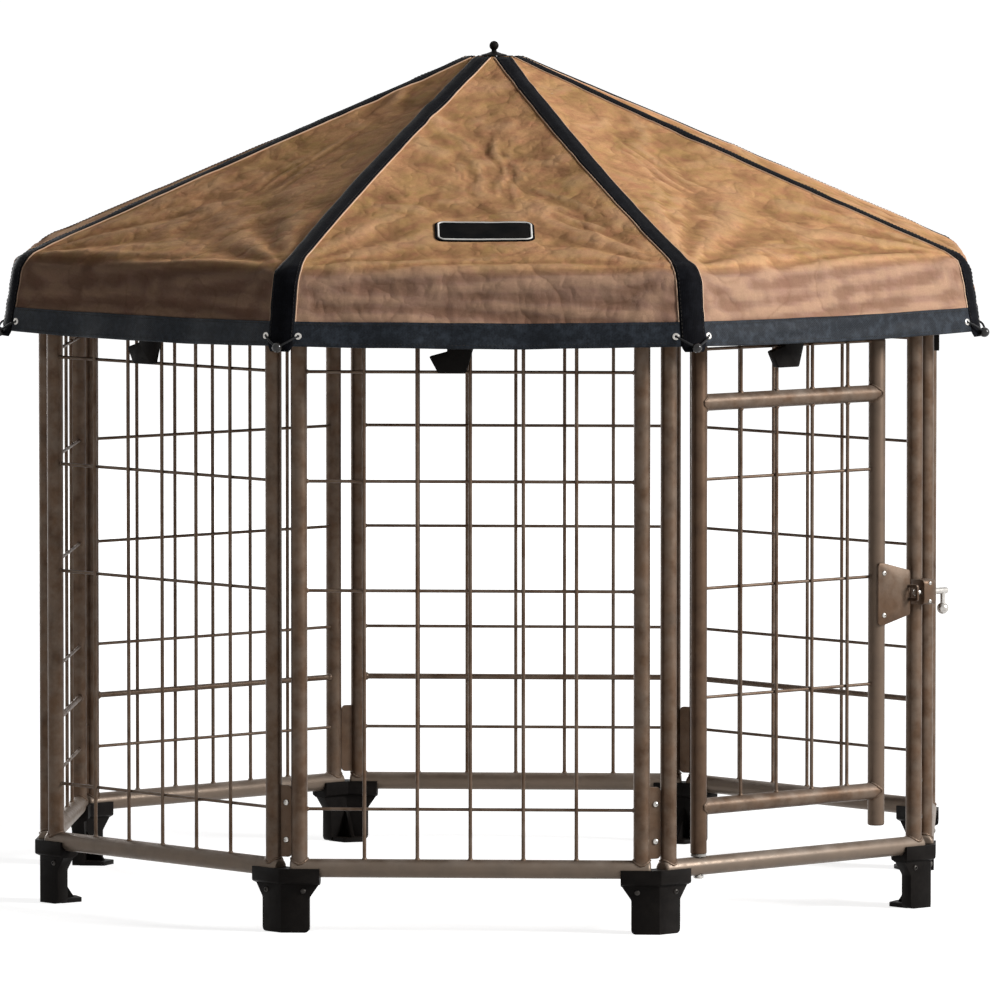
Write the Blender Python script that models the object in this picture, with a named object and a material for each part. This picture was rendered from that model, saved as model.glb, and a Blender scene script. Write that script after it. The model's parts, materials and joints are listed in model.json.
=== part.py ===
"""Eight-sided wire-panel pet gazebo with a sewn canopy, every piece at its real size.

Metres, +Z up. The door faces -Y, and the origin is on the floor under the middle of the roof.
Seven welded wire panels and a door panel stand on moulded feet, which cup the ends of their
rails. Moulded brackets cap the top corners and cradle eight roof poles, which meet in a hub.
The canopy is cut as eight gores, each with its own length of valance.
"""

import math

import bmesh
import bpy
from mathutils import Matrix, Vector

# Plan
SIDES = 8
TURN = math.tau / SIDES
HALF_TURN = TURN / 2
SIDE_NAMES = ("front", "front_right", "right", "rear_right", "rear", "rear_left", "left", "front_left")
PANEL_REACH = 0.600  # from the middle of the gazebo to the middle of a panel's tubes
CORNER_TO_POST = 0.0205  # along a panel, from the corner to the centre of its post

# Panel tubes and wires
POST_DIA = 0.022
RAIL_DIA = 0.025
RAIL_LOW = 0.086  # height of the bottom rail's centre
RAIL_HIGH = 0.822  # height of the top rail's centre
RAIL_OVERHANG = 0.0125  # of a rail past the centre of its post
RAIL_END_ROUND = 0.004
UPRIGHT_WIRE_DIA = 0.005
UPRIGHT_WIRE_PITCH = 0.0706
UPRIGHT_WIRE_COUNT = 5
CROSS_WIRE_DIA = 0.0044
WIRE_BITE = 0.0010  # how far an upright wire is pressed into a cross wire at their welds
CROSS_WIRE_COUNT = 5
CROSS_WIRE_LOWEST = 0.079  # above the bottom rail's centre
CROSS_WIRE_HIGHEST = 0.074  # below the top rail's centre
MID_BAR_DIA = 0.008  # of the thick bar between the two lowest cross wires
WIDE_SIDES = ("left", "front_left")  # these have no bar and no second cross wire

# Joining tab, welded to each panel's right-hand post and screwed to the next panel
TAB_THICK = 0.003
TAB_RISE = 0.0015  # above the rails
TAB_TALL = 0.096
TAB_ROUND = 0.006

# Door
HINGE_TO_POST = 0.055  # between the centres of the hinge stile and its post
LATCH_TO_POST = 0.071  # between the centres of the latch stile and its post
STILE_DIA = 0.022
DOOR_TOP_DROP = 0.117  # from the panel's top rail to the door's
DOOR_RAIL_DIA = 0.023
DOOR_BEND = 0.034  # radius of the bend at the top of the latch stile
BEND_STEPS = 5
LATCH_STILE_RISE = 0.032  # from the panel's bottom rail to the lower end of the latch stile
DOOR_WIRE_SHIFT = 0.009  # of the door's upright wires towards the latch
DOOR_WIRE_COUNT = 4
PIN_DIA = 0.008
PIN_DEPTH = 0.026  # of the pin inside the stile
PIN_HEAD_DIA = 0.014
PIN_HEAD_TALL = 0.004
PIN_HEAD_ROUND = 0.0012
BUSH_DIA = 0.021
BUSH_THICK = 0.0034
RUNNING_GAP = 0.0004  # round the hinge pins and the bolt

# Latch
LATCH_HEIGHT = 0.433
BOLT_DIA = 0.009
BOLT_OUT = 0.022  # of the bolt's centre in front of the door panel's middle
BOLT_CLEAR = 0.0018  # between the strike and the tip of the bolt, drawn back
BOLT_END_ROUND = 0.0015
BOLT_LENGTH = 0.060
BOLT_ARM_DIA = 0.007
BOLT_ARM_LENGTH = 0.024
BOLT_BALL_DIA = 0.016
STRIKE_THICK = 0.003
STRIKE_TO_POST = 0.022  # from the strike's edge to the centre of the latch's post
STRIKE_OVERLAP = 0.011  # of the strike past the latch stile's centre
STRIKE_TALL = 0.084
STRIKE_SHOULDER = 0.012  # by which its free edge is shorter, at each end
STRIKE_ROUND = 0.004
STAPLE_TALL = 0.022
STAPLE_SLOT_TALL = 0.014
STAPLE_WALL = 0.0035
STAPLE_INSET = 0.0005  # from the strike's edge
STAPLE_ROUND = 0.003
GUIDE_WIDE = 0.022
GUIDE_TALL = 0.034
GUIDE_WALL = 0.0045  # in front of the bolt
GUIDE_ROUND = 0.006

# Foot
FOOT_WING = 0.034  # each way from the corner
FOOT_FLARE = 0.048
FOOT_FLARE_LOW = 0.040  # below the rail's centre
FOOT_FLARE_HIGH = 0.020
FOOT_THICK = 0.018
FOOT_ROUND = 0.006
CUP_WALL = 0.003
CUP_DEPTH = 0.022  # of a cup's outer wall, from the rail's centre outwards
PAD_THICK = 0.006
PAD_REACH = 0.046  # of the pad, inwards from the corner
PAD_NOSE = 0.016  # half the width of the pad's inner edge
RIB_THICK = 0.005
RIB_DROP = 0.036  # from the rail's centre to the rib's top

# Top bracket
BRACKET_WING = 0.042
BRACKET_WEB_WIDE = 0.013
BRACKET_WEB_THICK = 0.006
BRACKET_WEB_DROP = 0.038  # from the rail's centre to the web's lower end
BRACKET_WEB_ROUND = 0.002
STEM_WIDE = 0.020
STEM_DEEP = 0.022
CRADLE_WIDE = 0.025
CRADLE_LENGTH = 0.052
CRADLE_WALL = 0.004

# Canopy clip at the middle of each top rail
CLIP_X = -0.012
CLIP_WIDE = 0.036
CLIP_WALL = 0.0032
CLIP_TONGUE = 0.0745  # from the rail's centre to the tongue's lower edge
CLIP_NECK = 0.046  # from the rail's centre to where the lug leaves the tongue
CLIP_LUG_REACH = 0.042
CLIP_LUG_FOOT = 0.030
CLIP_LUG_DROP = 0.0525
CLIP_TOE = 0.007  # right-hand corner of the tongue's lower edge
CLIP_TONGUE_BACK = 0.006  # clear of the wires behind it
CLIP_ARCH_STEPS = 8

# Roof
ROOF_RISE = 0.3275  # from the top rails to the edge of the canopy's flat top
ROOF_TOP_REACH = 0.043
CROWN_RISE = 0.001  # of the middle of the flat top
ROOF_HOLE = 0.009
EAVE_OVERHANG = 0.0366  # from a corner out to where the hip starts to bend over
EAVE_RISE = 0.0637  # from the top rails up to there
EAVE_OUT = 0.020  # how far the bend carries the hip outwards and down
EAVE_DOWN = 0.0297
EAVE_STEPS = 3
VALANCE_FLARE = 0.009
VALANCE_DROP = 0.068  # of the valance below its bend
CANOPY_THICK = 0.003
GORE_GAP = 0.0006
GORE_COLUMNS = 6
GORE_SLOPE_ROWS = 4
VALANCE_ROWS = 3
GORE_SAG = 0.010
VALANCE_SWAY = 0.004
VALANCE_WAVES = 2
POLE_DIA = 0.016
POLE_START = 0.038
POLE_SHORT = 0.002  # of the pole's end before the bend of the hip
POLE_END_ROUND = 0.003
POLE_CLEAR = 0.0008  # under the canopy at the eave
POLE_DROP = 0.009  # further below the canopy at the hub
HUB_REACH = 0.062
HUB_TOP_CLEAR = 0.0008
HUB_WAIST = 0.046
HUB_TALL = 0.042
HUB_SKIRT = 0.012  # height of the hub's rim wall below its cone
HUB_FACES = 24
FINIAL_STEM_DIA = 0.006
FINIAL_STEM_DEPTH = 0.020
FINIAL_FLANGE_DIA = 0.036
FINIAL_NECK_DIA = 0.007
FINIAL_BALL_DIA = 0.013
FINIAL_TALL = 0.022  # above the crown
FINIAL_EDGE = 0.001
FINIAL_CONE = 0.003
FINIAL_CONE_DIA = 0.022
FINIAL_FACES = 16

SEAT_GAP = 0.0003
TUBE_FACES = 12
TUBE_TURN = HALF_TURN - math.pi / TUBE_FACES  # of an upright tube's facets, so that one faces the tab squarely
WIRE_FACES = 4
CORNER_STEPS = 3
MERGE = 0.00001
SMOOTH_ANGLE = math.radians(40)
FLAT_ANGLE = math.radians(0.2)

# Worked out from the sizes above
CORNER_X = PANEL_REACH * math.tan(HALF_TURN)
CORNER_REACH = PANEL_REACH / math.cos(HALF_TURN)
POST_X = CORNER_X - CORNER_TO_POST
RAIL_RADIUS = RAIL_DIA / 2
POST_RADIUS = POST_DIA / 2
WIRE_SHIFT = (UPRIGHT_WIRE_DIA + CROSS_WIRE_DIA) / 4 - WIRE_BITE / 2
CROSS_PITCH = (RAIL_HIGH - CROSS_WIRE_HIGHEST - RAIL_LOW - CROSS_WIRE_LOWEST) / (CROSS_WIRE_COUNT - 1)
CROSS_HEIGHTS = [RAIL_LOW + CROSS_WIRE_LOWEST + CROSS_PITCH * k for k in range(CROSS_WIRE_COUNT)]
MID_BAR_HEIGHT = (CROSS_HEIGHTS[0] + CROSS_HEIGHTS[1]) / 2
HINGE_X = HINGE_TO_POST - POST_X
LATCH_STILE_X = POST_X - LATCH_TO_POST
DOOR_TOP = RAIL_HIGH - DOOR_TOP_DROP
DOOR_BOTTOM = CROSS_HEIGHTS[0]
DOOR_WIRE_PITCH = (LATCH_STILE_X - HINGE_X) / (DOOR_WIRE_COUNT + 1)
STRIKE_EDGE = POST_X - STRIKE_TO_POST
BOLT_REST = STRIKE_EDGE + BOLT_CLEAR
ROOF_TOP = RAIL_HIGH + ROOF_RISE
ROOF_CROWN = ROOF_TOP + CROWN_RISE
EAVE_REACH = CORNER_REACH + EAVE_OVERHANG
EAVE_HEIGHT = RAIL_HIGH + EAVE_RISE
POLE_END = EAVE_REACH - POLE_SHORT
STILE_LOW = RAIL_LOW + RAIL_RADIUS + BUSH_THICK + 2 * SEAT_GAP
STILE_HIGH = RAIL_HIGH - RAIL_RADIUS - BUSH_THICK - 2 * SEAT_GAP
HIP_FALL = (ROOF_TOP - EAVE_HEIGHT) / (EAVE_REACH - ROOF_TOP_REACH)
POLE_TILT = math.atan(HIP_FALL)
POLE_BELOW = (CANOPY_THICK / 2 + POLE_CLEAR + POLE_DIA / 2) / math.cos(POLE_TILT)

BRONZE = ("bronze_powder_coat", (0.105, 0.078, 0.060), 0.38, 0.35)
BLACK = ("black_moulding", (0.012, 0.011, 0.011), 0.48, 0.0)
STEEL = ("zinc_plated_steel", (0.55, 0.53, 0.50), 0.32, 0.9)
CANVAS = ("tan_canvas", (0.42, 0.27, 0.15), 0.85, 0.0)
BUSHING = ("grey_nylon", (0.30, 0.29, 0.27), 0.55, 0.0)


def clear_scene():
    for obj in list(bpy.data.objects):
        bpy.data.objects.remove(obj)


def finish(look):
    name, colour, roughness, metallic = look
    material = bpy.data.materials.get(name)
    if material is None:
        material = bpy.data.materials.new(name)
        material.use_nodes = True
        shader = material.node_tree.nodes["Principled BSDF"]
        shader.inputs["Base Color"].default_value = (*colour, 1.0)
        shader.inputs["Roughness"].default_value = roughness
        shader.inputs["Metallic"].default_value = metallic
    return material


# Shapes


def loose(bm, name="shape"):
    """An object that holds the shape until it is joined to others or used to cut them."""
    bmesh.ops.remove_doubles(bm, verts=bm.verts, dist=MERGE)
    bmesh.ops.recalc_face_normals(bm, faces=bm.faces)
    mesh = bpy.data.meshes.new(name)
    bm.to_mesh(mesh)
    bm.free()
    obj = bpy.data.objects.new(name, mesh)
    bpy.context.scene.collection.objects.link(obj)
    return obj


def tidied(mesh):
    """Joins the flat facets that a Boolean left in pieces, and cuts them again without slivers."""
    bm = bmesh.new()
    bm.from_mesh(mesh)
    bmesh.ops.dissolve_degenerate(bm, dist=MERGE, edges=bm.edges)
    bmesh.ops.dissolve_limit(bm, angle_limit=FLAT_ANGLE, verts=bm.verts, edges=bm.edges)
    bmesh.ops.triangulate(bm, faces=bm.faces, ngon_method="BEAUTY")
    bm.to_mesh(mesh)
    bm.free()


def settled(obj):
    """The object's mesh with its modifiers taken up. The object goes."""
    bpy.context.view_layer.update()
    graph = bpy.context.evaluated_depsgraph_get()
    mesh = bpy.data.meshes.new_from_object(obj.evaluated_get(graph))
    bpy.data.objects.remove(obj)
    tidied(mesh)
    return mesh


def combined(base, others, operation):
    """The base joined with or cut by each of the others, as one loose object."""
    for other in others:
        modifier = base.modifiers.new(operation.lower(), "BOOLEAN")
        modifier.operation = operation
        modifier.object = other
    mesh = settled(base)
    for other in others:
        bpy.data.objects.remove(other)
    result = bpy.data.objects.new("combined", mesh)
    bpy.context.scene.collection.objects.link(result)
    return result


def add_rod(bm, start, end, dia, faces=TUBE_FACES, rounding=0.0):
    """A round rod. Its ends are chamfered where a rounding is given."""
    start, end = Vector(start), Vector(end)
    axis = end - start
    aim = axis.to_track_quat("Z", "Y").to_matrix().to_4x4()
    if faces == TUBE_FACES and not axis.x and not axis.y:
        aim = aim @ Matrix.Rotation(TUBE_TURN, 4, "Z")
    rod = bmesh.ops.create_cone(
        bm,
        cap_ends=True,
        segments=faces,
        radius1=dia / 2,
        radius2=dia / 2,
        depth=axis.length,
        matrix=Matrix.Translation((start + end) / 2) @ aim,
    )
    if rounding:
        rims = {edge for vert in rod["verts"] for edge in vert.link_edges if is_rim(edge, faces)}
        bmesh.ops.bevel(bm, geom=list(rims), offset=rounding, segments=1, profile=0.5, affect="EDGES")


def is_rim(edge, faces):
    """Whether the edge runs round a rod's flat end."""
    return any(len(face.verts) == faces for face in edge.link_faces)


def rods(runs, dia, faces=TUBE_FACES, rounding=0.0):
    bm = bmesh.new()
    for start, end in runs:
        add_rod(bm, start, end, dia, faces, rounding)
    return loose(bm)


def prism(outline, low, high, frame):
    """The outline's points (a, b), drawn out from low to high. The frame turns (a, b, depth) into x, y, z."""
    bm = bmesh.new()
    face = bm.faces.new([bm.verts.new(frame @ Vector((a, b, low))) for a, b in outline])
    pulled = bmesh.ops.extrude_face_region(bm, geom=[face])["geom"]
    move = frame.to_3x3() @ Vector((0, 0, high - low))
    bmesh.ops.translate(bm, verts=[item for item in pulled if isinstance(item, bmesh.types.BMVert)], vec=move)
    bmesh.ops.triangulate(bm, faces=[item for item in bm.faces if len(item.verts) > 4])
    return loose(bm)


def rounded(corners, steps=CORNER_STEPS):
    """An outline whose corners (a, b, radius) are turned into arcs."""
    points = []
    for index, (a, b, radius) in enumerate(corners):
        here = Vector((a, b))
        if not radius:
            points.append(tuple(here))
            continue
        before = (Vector(corners[index - 1][:2]) - here).normalized()
        after = (Vector(corners[(index + 1) % len(corners)][:2]) - here).normalized()
        half = before.angle(after) / 2
        centre = here + (before + after).normalized() * (radius / math.sin(half))
        first = here + before * (radius / math.tan(half)) - centre
        last = here + after * (radius / math.tan(half)) - centre
        sweep = first.angle_signed(last)
        for step in range(steps + 1):
            spoke = first.copy()
            spoke.rotate(Matrix.Rotation(-sweep * step / steps, 2))
            points.append(tuple(centre + spoke))
    return points


def turned(profile, faces):
    """A closed shape turned about Z from points (radius, height), listed from top to bottom."""
    bm = bmesh.new()
    verts = [bm.verts.new((radius, 0, height)) for radius, height in profile]
    edges = [bm.edges.new(pair) for pair in zip(verts, verts[1:])]
    bmesh.ops.spin(
        bm, geom=verts + edges, cent=(0, 0, 0), axis=(0, 0, 1), angle=math.tau, steps=faces, use_merge=True
    )
    return loose(bm)


FACING = Matrix(((1, 0, 0, 0), (0, 0, 1, 0), (0, 1, 0, 0), (0, 0, 0, 1)))  # (x, z, y)
FLAT = Matrix.Identity(4)
SIDEWAYS = Matrix(((0, 0, 1, 0), (1, 0, 0, 0), (0, 1, 0, 0), (0, 0, 0, 1)))  # (y, z, x)


# Placing


def smooth(mesh):
    mesh.shade_smooth()
    mesh.set_sharp_from_angle(angle=SMOOTH_ANGLE)


def place(name, mesh, look, turn=0.0, reach=0.0, parent=None):
    """Stands the mesh at its place round the gazebo. A mesh faces -Y until it is turned."""
    obj = bpy.data.objects.new(name, mesh)
    if not mesh.materials:
        mesh.materials.append(finish(look))
        smooth(mesh)
    obj.rotation_euler.z = turn
    obj.location = Matrix.Rotation(turn, 3, "Z") @ Vector((0, -reach, 0))
    bpy.context.scene.collection.objects.link(obj)
    if parent is not None:
        obj.parent = parent
        obj.location -= parent.location
    return obj


def pivot(name, location):
    """An empty on a joint's axis, which the pieces that move with the joint hang from."""
    empty = bpy.data.objects.new(name, None)
    empty.location = location
    bpy.context.scene.collection.objects.link(empty)
    return empty


# Panels


def rail_runs():
    end = POST_X + RAIL_OVERHANG
    return [((-end, 0, height), (end, 0, height)) for height in (RAIL_LOW, RAIL_HIGH)]


def post_runs():
    return [((side * POST_X, 0, RAIL_LOW), (side * POST_X, 0, RAIL_HIGH)) for side in (-1, 1)]


def joining_tab():
    """The plate that crosses the gap to the next panel's post."""
    spacing = 2 * (CORNER_X - POST_X) * math.cos(HALF_TURN)
    low = RAIL_LOW + RAIL_RADIUS + TAB_RISE
    reach = spacing - POST_RADIUS - SEAT_GAP
    high = low + TAB_TALL
    outline = rounded(((0, low, 0), (reach, low, TAB_ROUND), (reach, high, TAB_ROUND), (0, high, 0)))
    frame = Matrix.Translation((POST_X, 0, 0)) @ Matrix.Rotation(HALF_TURN, 4, "Z") @ FACING
    return prism(outline, -TAB_THICK / 2, TAB_THICK / 2, frame)


def tube_frame():
    rails = rods(rail_runs(), RAIL_DIA, rounding=RAIL_END_ROUND)
    return combined(rails, [rods(post_runs(), POST_DIA), joining_tab()], "UNION")


def upright_wires(first, pitch, count, low, high):
    runs = [((first + pitch * k, -WIRE_SHIFT, low), (first + pitch * k, -WIRE_SHIFT, high)) for k in range(count)]
    return rods(runs, UPRIGHT_WIRE_DIA, WIRE_FACES)


def cross_wires(heights, left, right, dia=CROSS_WIRE_DIA):
    return rods([((left, WIRE_SHIFT, z), (right, WIRE_SHIFT, z)) for z in heights], dia, WIRE_FACES)


def wire_panel(cross_heights, mid_bar):
    first = -UPRIGHT_WIRE_PITCH * (UPRIGHT_WIRE_COUNT - 1) / 2
    pieces = [
        upright_wires(first, UPRIGHT_WIRE_PITCH, UPRIGHT_WIRE_COUNT, RAIL_LOW, RAIL_HIGH),
        cross_wires(cross_heights, -POST_X, POST_X),
    ]
    if mid_bar:
        pieces.append(cross_wires((MID_BAR_HEIGHT,), -POST_X, POST_X, MID_BAR_DIA))
    return settled(combined(tube_frame(), pieces, "UNION"))


def door_frame():
    """The door panel's fixed frame, bored for the hinge pins."""
    reach = RAIL_DIA
    bores = [((HINGE_X, 0, height - reach), (HINGE_X, 0, height + reach)) for height in (RAIL_LOW, RAIL_HIGH)]
    return settled(combined(tube_frame(), [rods(bores, PIN_DIA + 2 * SEAT_GAP)], "DIFFERENCE"))


def add_panels():
    wide = wire_panel(CROSS_HEIGHTS[:1] + CROSS_HEIGHTS[2:], mid_bar=False)
    close = wire_panel(CROSS_HEIGHTS, mid_bar=True)
    place("door_frame", door_frame(), BRONZE, 0, PANEL_REACH)
    for index, side in enumerate(SIDE_NAMES[1:], start=1):
        place(f"panel_{side}", wide if side in WIDE_SIDES else close, BRONZE, index * TURN, PANEL_REACH)


# Door


def bent_tube(points, dia, faces=TUBE_FACES):
    """A closed round tube along points that lie in the plane of the panel."""
    bm = bmesh.new()
    rings = []
    for index, point in enumerate(points):
        before = (point - points[max(index - 1, 0)]).normalized()
        after = (points[min(index + 1, len(points) - 1)] - point).normalized()
        along = (before + after).normalized()
        stretch = 1 / max(along.dot(after), along.dot(before))
        across = along.cross(Vector((0, 1, 0)))
        ring = []
        for step in range(faces):
            angle = math.tau * (step + 0.5) / faces
            offset = across * (math.cos(angle) * stretch) + Vector((0, math.sin(angle), 0))
            ring.append(bm.verts.new(point + offset * (dia / 2)))
        rings.append(ring)
    for one, two in zip(rings, rings[1:]):
        for step in range(faces):
            following = (step + 1) % faces
            bm.faces.new((one[step], one[following], two[following], two[step]))
    bm.faces.new(rings[0])
    bm.faces.new(rings[-1])
    return loose(bm)


def door_outline():
    """Along the door's top rail, round its bend and down the latch stile."""
    centre = Vector((LATCH_STILE_X - DOOR_BEND, 0, DOOR_TOP - DOOR_BEND))
    points = [Vector((HINGE_X, 0, DOOR_TOP))]
    for step in range(BEND_STEPS + 1):
        angle = math.pi / 2 * (1 - step / BEND_STEPS)
        points.append(centre + DOOR_BEND * Vector((math.cos(angle), 0, math.sin(angle))))
    return points + [Vector((LATCH_STILE_X, 0, RAIL_LOW + LATCH_STILE_RISE))]


def door_leaf():
    """The door's welded tubes and wires, bored at both ends of the hinge stile."""
    first = HINGE_X + DOOR_WIRE_PITCH + DOOR_WIRE_SHIFT
    stile = rods([((HINGE_X, 0, STILE_LOW), (HINGE_X, 0, STILE_HIGH))], STILE_DIA)
    pieces = [
        bent_tube(door_outline(), DOOR_RAIL_DIA),
        rods([((HINGE_X, 0, DOOR_BOTTOM), (LATCH_STILE_X, 0, DOOR_BOTTOM))], DOOR_RAIL_DIA - SEAT_GAP),
        upright_wires(first, DOOR_WIRE_PITCH, DOOR_WIRE_COUNT, DOOR_BOTTOM, DOOR_TOP),
        cross_wires(CROSS_HEIGHTS[1:-1], HINGE_X, LATCH_STILE_X),
    ]
    sockets = [
        ((HINGE_X, 0, STILE_LOW - PIN_DEPTH), (HINGE_X, 0, STILE_LOW + PIN_DEPTH + SEAT_GAP)),
        ((HINGE_X, 0, STILE_HIGH - PIN_DEPTH - SEAT_GAP), (HINGE_X, 0, STILE_HIGH + PIN_DEPTH)),
    ]
    leaf = combined(stile, pieces, "UNION")
    return settled(combined(leaf, [rods(sockets, PIN_DIA + 2 * RUNNING_GAP)], "DIFFERENCE"))


def hinge_pin(rail_height, stile_end, upwards):
    """A headed pin through a rail and into the hinge stile."""
    sign = 1 if upwards else -1
    seat = rail_height - sign * (RAIL_RADIUS + SEAT_GAP)
    head_run = [((HINGE_X, 0, seat - sign * PIN_HEAD_TALL), (HINGE_X, 0, seat))]
    head = rods(head_run, PIN_HEAD_DIA, rounding=PIN_HEAD_ROUND)
    tip = stile_end + sign * PIN_DEPTH
    shank = rods([((HINGE_X, 0, seat - sign * PIN_HEAD_TALL / 2), (HINGE_X, 0, tip))], PIN_DIA)
    return settled(combined(head, [shank], "UNION"))


def hinge_bush(low):
    ring = rods([((HINGE_X, 0, low), (HINGE_X, 0, low + BUSH_THICK))], BUSH_DIA)
    bore = rods([((HINGE_X, 0, low - BUSH_THICK), (HINGE_X, 0, low + 2 * BUSH_THICK))], PIN_DIA + 2 * SEAT_GAP)
    return settled(combined(ring, [bore], "DIFFERENCE"))


def strike():
    """The plate on the latch stile, with the staple that takes the bolt."""
    back, edge = LATCH_STILE_X - STRIKE_OVERLAP, STRIKE_EDGE
    low, high = LATCH_HEIGHT - STRIKE_TALL / 2, LATCH_HEIGHT + STRIKE_TALL / 2
    outline = rounded((
        (back, low, STRIKE_ROUND),
        (LATCH_STILE_X, low, 0),
        (edge, low + STRIKE_SHOULDER, STRIKE_ROUND),
        (edge, high - STRIKE_SHOULDER, STRIKE_ROUND),
        (LATCH_STILE_X, high, 0),
        (back, high, STRIKE_ROUND),
    ))
    face = -DOOR_RAIL_DIA / 2 - SEAT_GAP
    plate = prism(outline, face - STRIKE_THICK, face, FACING)
    front = -BOLT_OUT - STAPLE_SLOT_TALL / 2 - STAPLE_WALL
    ear = rounded((
        (face - STRIKE_THICK / 2, LATCH_HEIGHT - STAPLE_TALL / 2, 0),
        (front, LATCH_HEIGHT - STAPLE_TALL / 2, STAPLE_ROUND),
        (front, LATCH_HEIGHT + STAPLE_TALL / 2, STAPLE_ROUND),
        (face - STRIKE_THICK / 2, LATCH_HEIGHT + STAPLE_TALL / 2, 0),
    ))
    staple = prism(ear, edge - STAPLE_INSET - STAPLE_WALL, edge - STAPLE_INSET, SIDEWAYS)
    half_slot = STAPLE_SLOT_TALL / 2
    slot = prism(
        (
            (-BOLT_OUT - half_slot, LATCH_HEIGHT - half_slot),
            (-BOLT_OUT + half_slot, LATCH_HEIGHT - half_slot),
            (-BOLT_OUT + half_slot, LATCH_HEIGHT + half_slot),
            (-BOLT_OUT - half_slot, LATCH_HEIGHT + half_slot),
        ),
        edge - 3 * STAPLE_WALL,
        edge + STAPLE_WALL,
        SIDEWAYS,
    )
    return settled(combined(combined(plate, [staple], "UNION"), [slot], "DIFFERENCE"))


def latch_guide():
    """The block on the fixed post that carries the bolt."""
    low, high = LATCH_HEIGHT - GUIDE_TALL / 2, LATCH_HEIGHT + GUIDE_TALL / 2
    front = -BOLT_OUT - BOLT_DIA / 2 - GUIDE_WALL
    outline = rounded((
        (-POST_RADIUS / 2, low, 0),
        (front, low, GUIDE_ROUND),
        (front, high, GUIDE_ROUND),
        (-POST_RADIUS / 2, high, 0),
    ))
    block = prism(outline, POST_X - GUIDE_WIDE / 2, POST_X + GUIDE_WIDE / 2, SIDEWAYS)
    post = rods([((POST_X, 0, RAIL_LOW), (POST_X, 0, RAIL_HIGH))], POST_DIA + 2 * SEAT_GAP, 2 * TUBE_FACES)
    bore = rods(
        [((POST_X - GUIDE_WIDE, -BOLT_OUT, LATCH_HEIGHT), (POST_X + GUIDE_WIDE, -BOLT_OUT, LATCH_HEIGHT))],
        BOLT_DIA + 2 * RUNNING_GAP,
    )
    return settled(combined(block, [post, bore], "DIFFERENCE"))


def latch_bolt():
    """The sliding bolt, with its cranked arm and ball. Its rest is drawn back out of the staple."""
    tail = BOLT_REST + BOLT_LENGTH
    bar_run = [((BOLT_REST, -BOLT_OUT, LATCH_HEIGHT), (tail, -BOLT_OUT, LATCH_HEIGHT))]
    bar = rods(bar_run, BOLT_DIA, rounding=BOLT_END_ROUND)
    arm_x = tail - BOLT_ARM_DIA
    foot = LATCH_HEIGHT - BOLT_ARM_LENGTH
    arm = rods([((arm_x, -BOLT_OUT, LATCH_HEIGHT), (arm_x, -BOLT_OUT, foot))], BOLT_ARM_DIA)
    bm = bmesh.new()
    where = Matrix.Translation((arm_x, -BOLT_OUT, foot))
    bmesh.ops.create_icosphere(bm, subdivisions=2, radius=BOLT_BALL_DIA / 2, matrix=where)
    return settled(combined(bar, [arm, loose(bm)], "UNION"))


def add_door():
    hinge = pivot("door_hinge_axis", (HINGE_X, -PANEL_REACH, 0))
    place("door_leaf", door_leaf(), BRONZE, 0, PANEL_REACH, hinge)
    place("latch_strike", strike(), BRONZE, 0, PANEL_REACH, hinge)
    place("hinge_pin_bottom", hinge_pin(RAIL_LOW, STILE_LOW, upwards=True), STEEL, 0, PANEL_REACH)
    place("hinge_pin_top", hinge_pin(RAIL_HIGH, STILE_HIGH, upwards=False), STEEL, 0, PANEL_REACH)
    low_seat = RAIL_LOW + RAIL_RADIUS + SEAT_GAP
    high_seat = RAIL_HIGH - RAIL_RADIUS - SEAT_GAP - BUSH_THICK
    place("hinge_bush_bottom", hinge_bush(low_seat), BUSHING, 0, PANEL_REACH)
    place("hinge_bush_top", hinge_bush(high_seat), BUSHING, 0, PANEL_REACH)
    place("latch_guide", latch_guide(), BRONZE, 0, PANEL_REACH)
    slide = pivot("latch_slide_axis", (BOLT_REST, -PANEL_REACH - BOLT_OUT, LATCH_HEIGHT))
    place("latch_bolt", latch_bolt(), STEEL, 0, PANEL_REACH, slide)


# Corners


def wing_frame():
    """From along the wing, height and depth to the corner's frame."""
    return Matrix.Rotation(HALF_TURN, 4, "Z") @ FACING


def mirrored(obj):
    """Keeps the right-hand half, and mirrors it across the corner."""
    modifier = obj.modifiers.new("both_wings", "MIRROR")
    modifier.use_bisect_axis[0] = True
    modifier.merge_threshold = 0.0001
    return obj


def rail_ends(height):
    """The ends of the two rails that meet at a corner, with room round them."""
    stop = CORNER_X - POST_X - RAIL_OVERHANG - SEAT_GAP
    start = Matrix.Rotation(HALF_TURN, 3, "Z") @ Vector((stop, 0, 0))
    end = Matrix.Rotation(HALF_TURN, 3, "Z") @ Vector((2 * BRACKET_WING + FOOT_FLARE, 0, 0))
    up = Vector((0, 0, height))
    across = Vector((-1, 1, 1))
    runs = [(start + up, end + up), (start * across + up, end * across + up)]
    return rods(runs, RAIL_DIA + 2 * SEAT_GAP)


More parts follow.
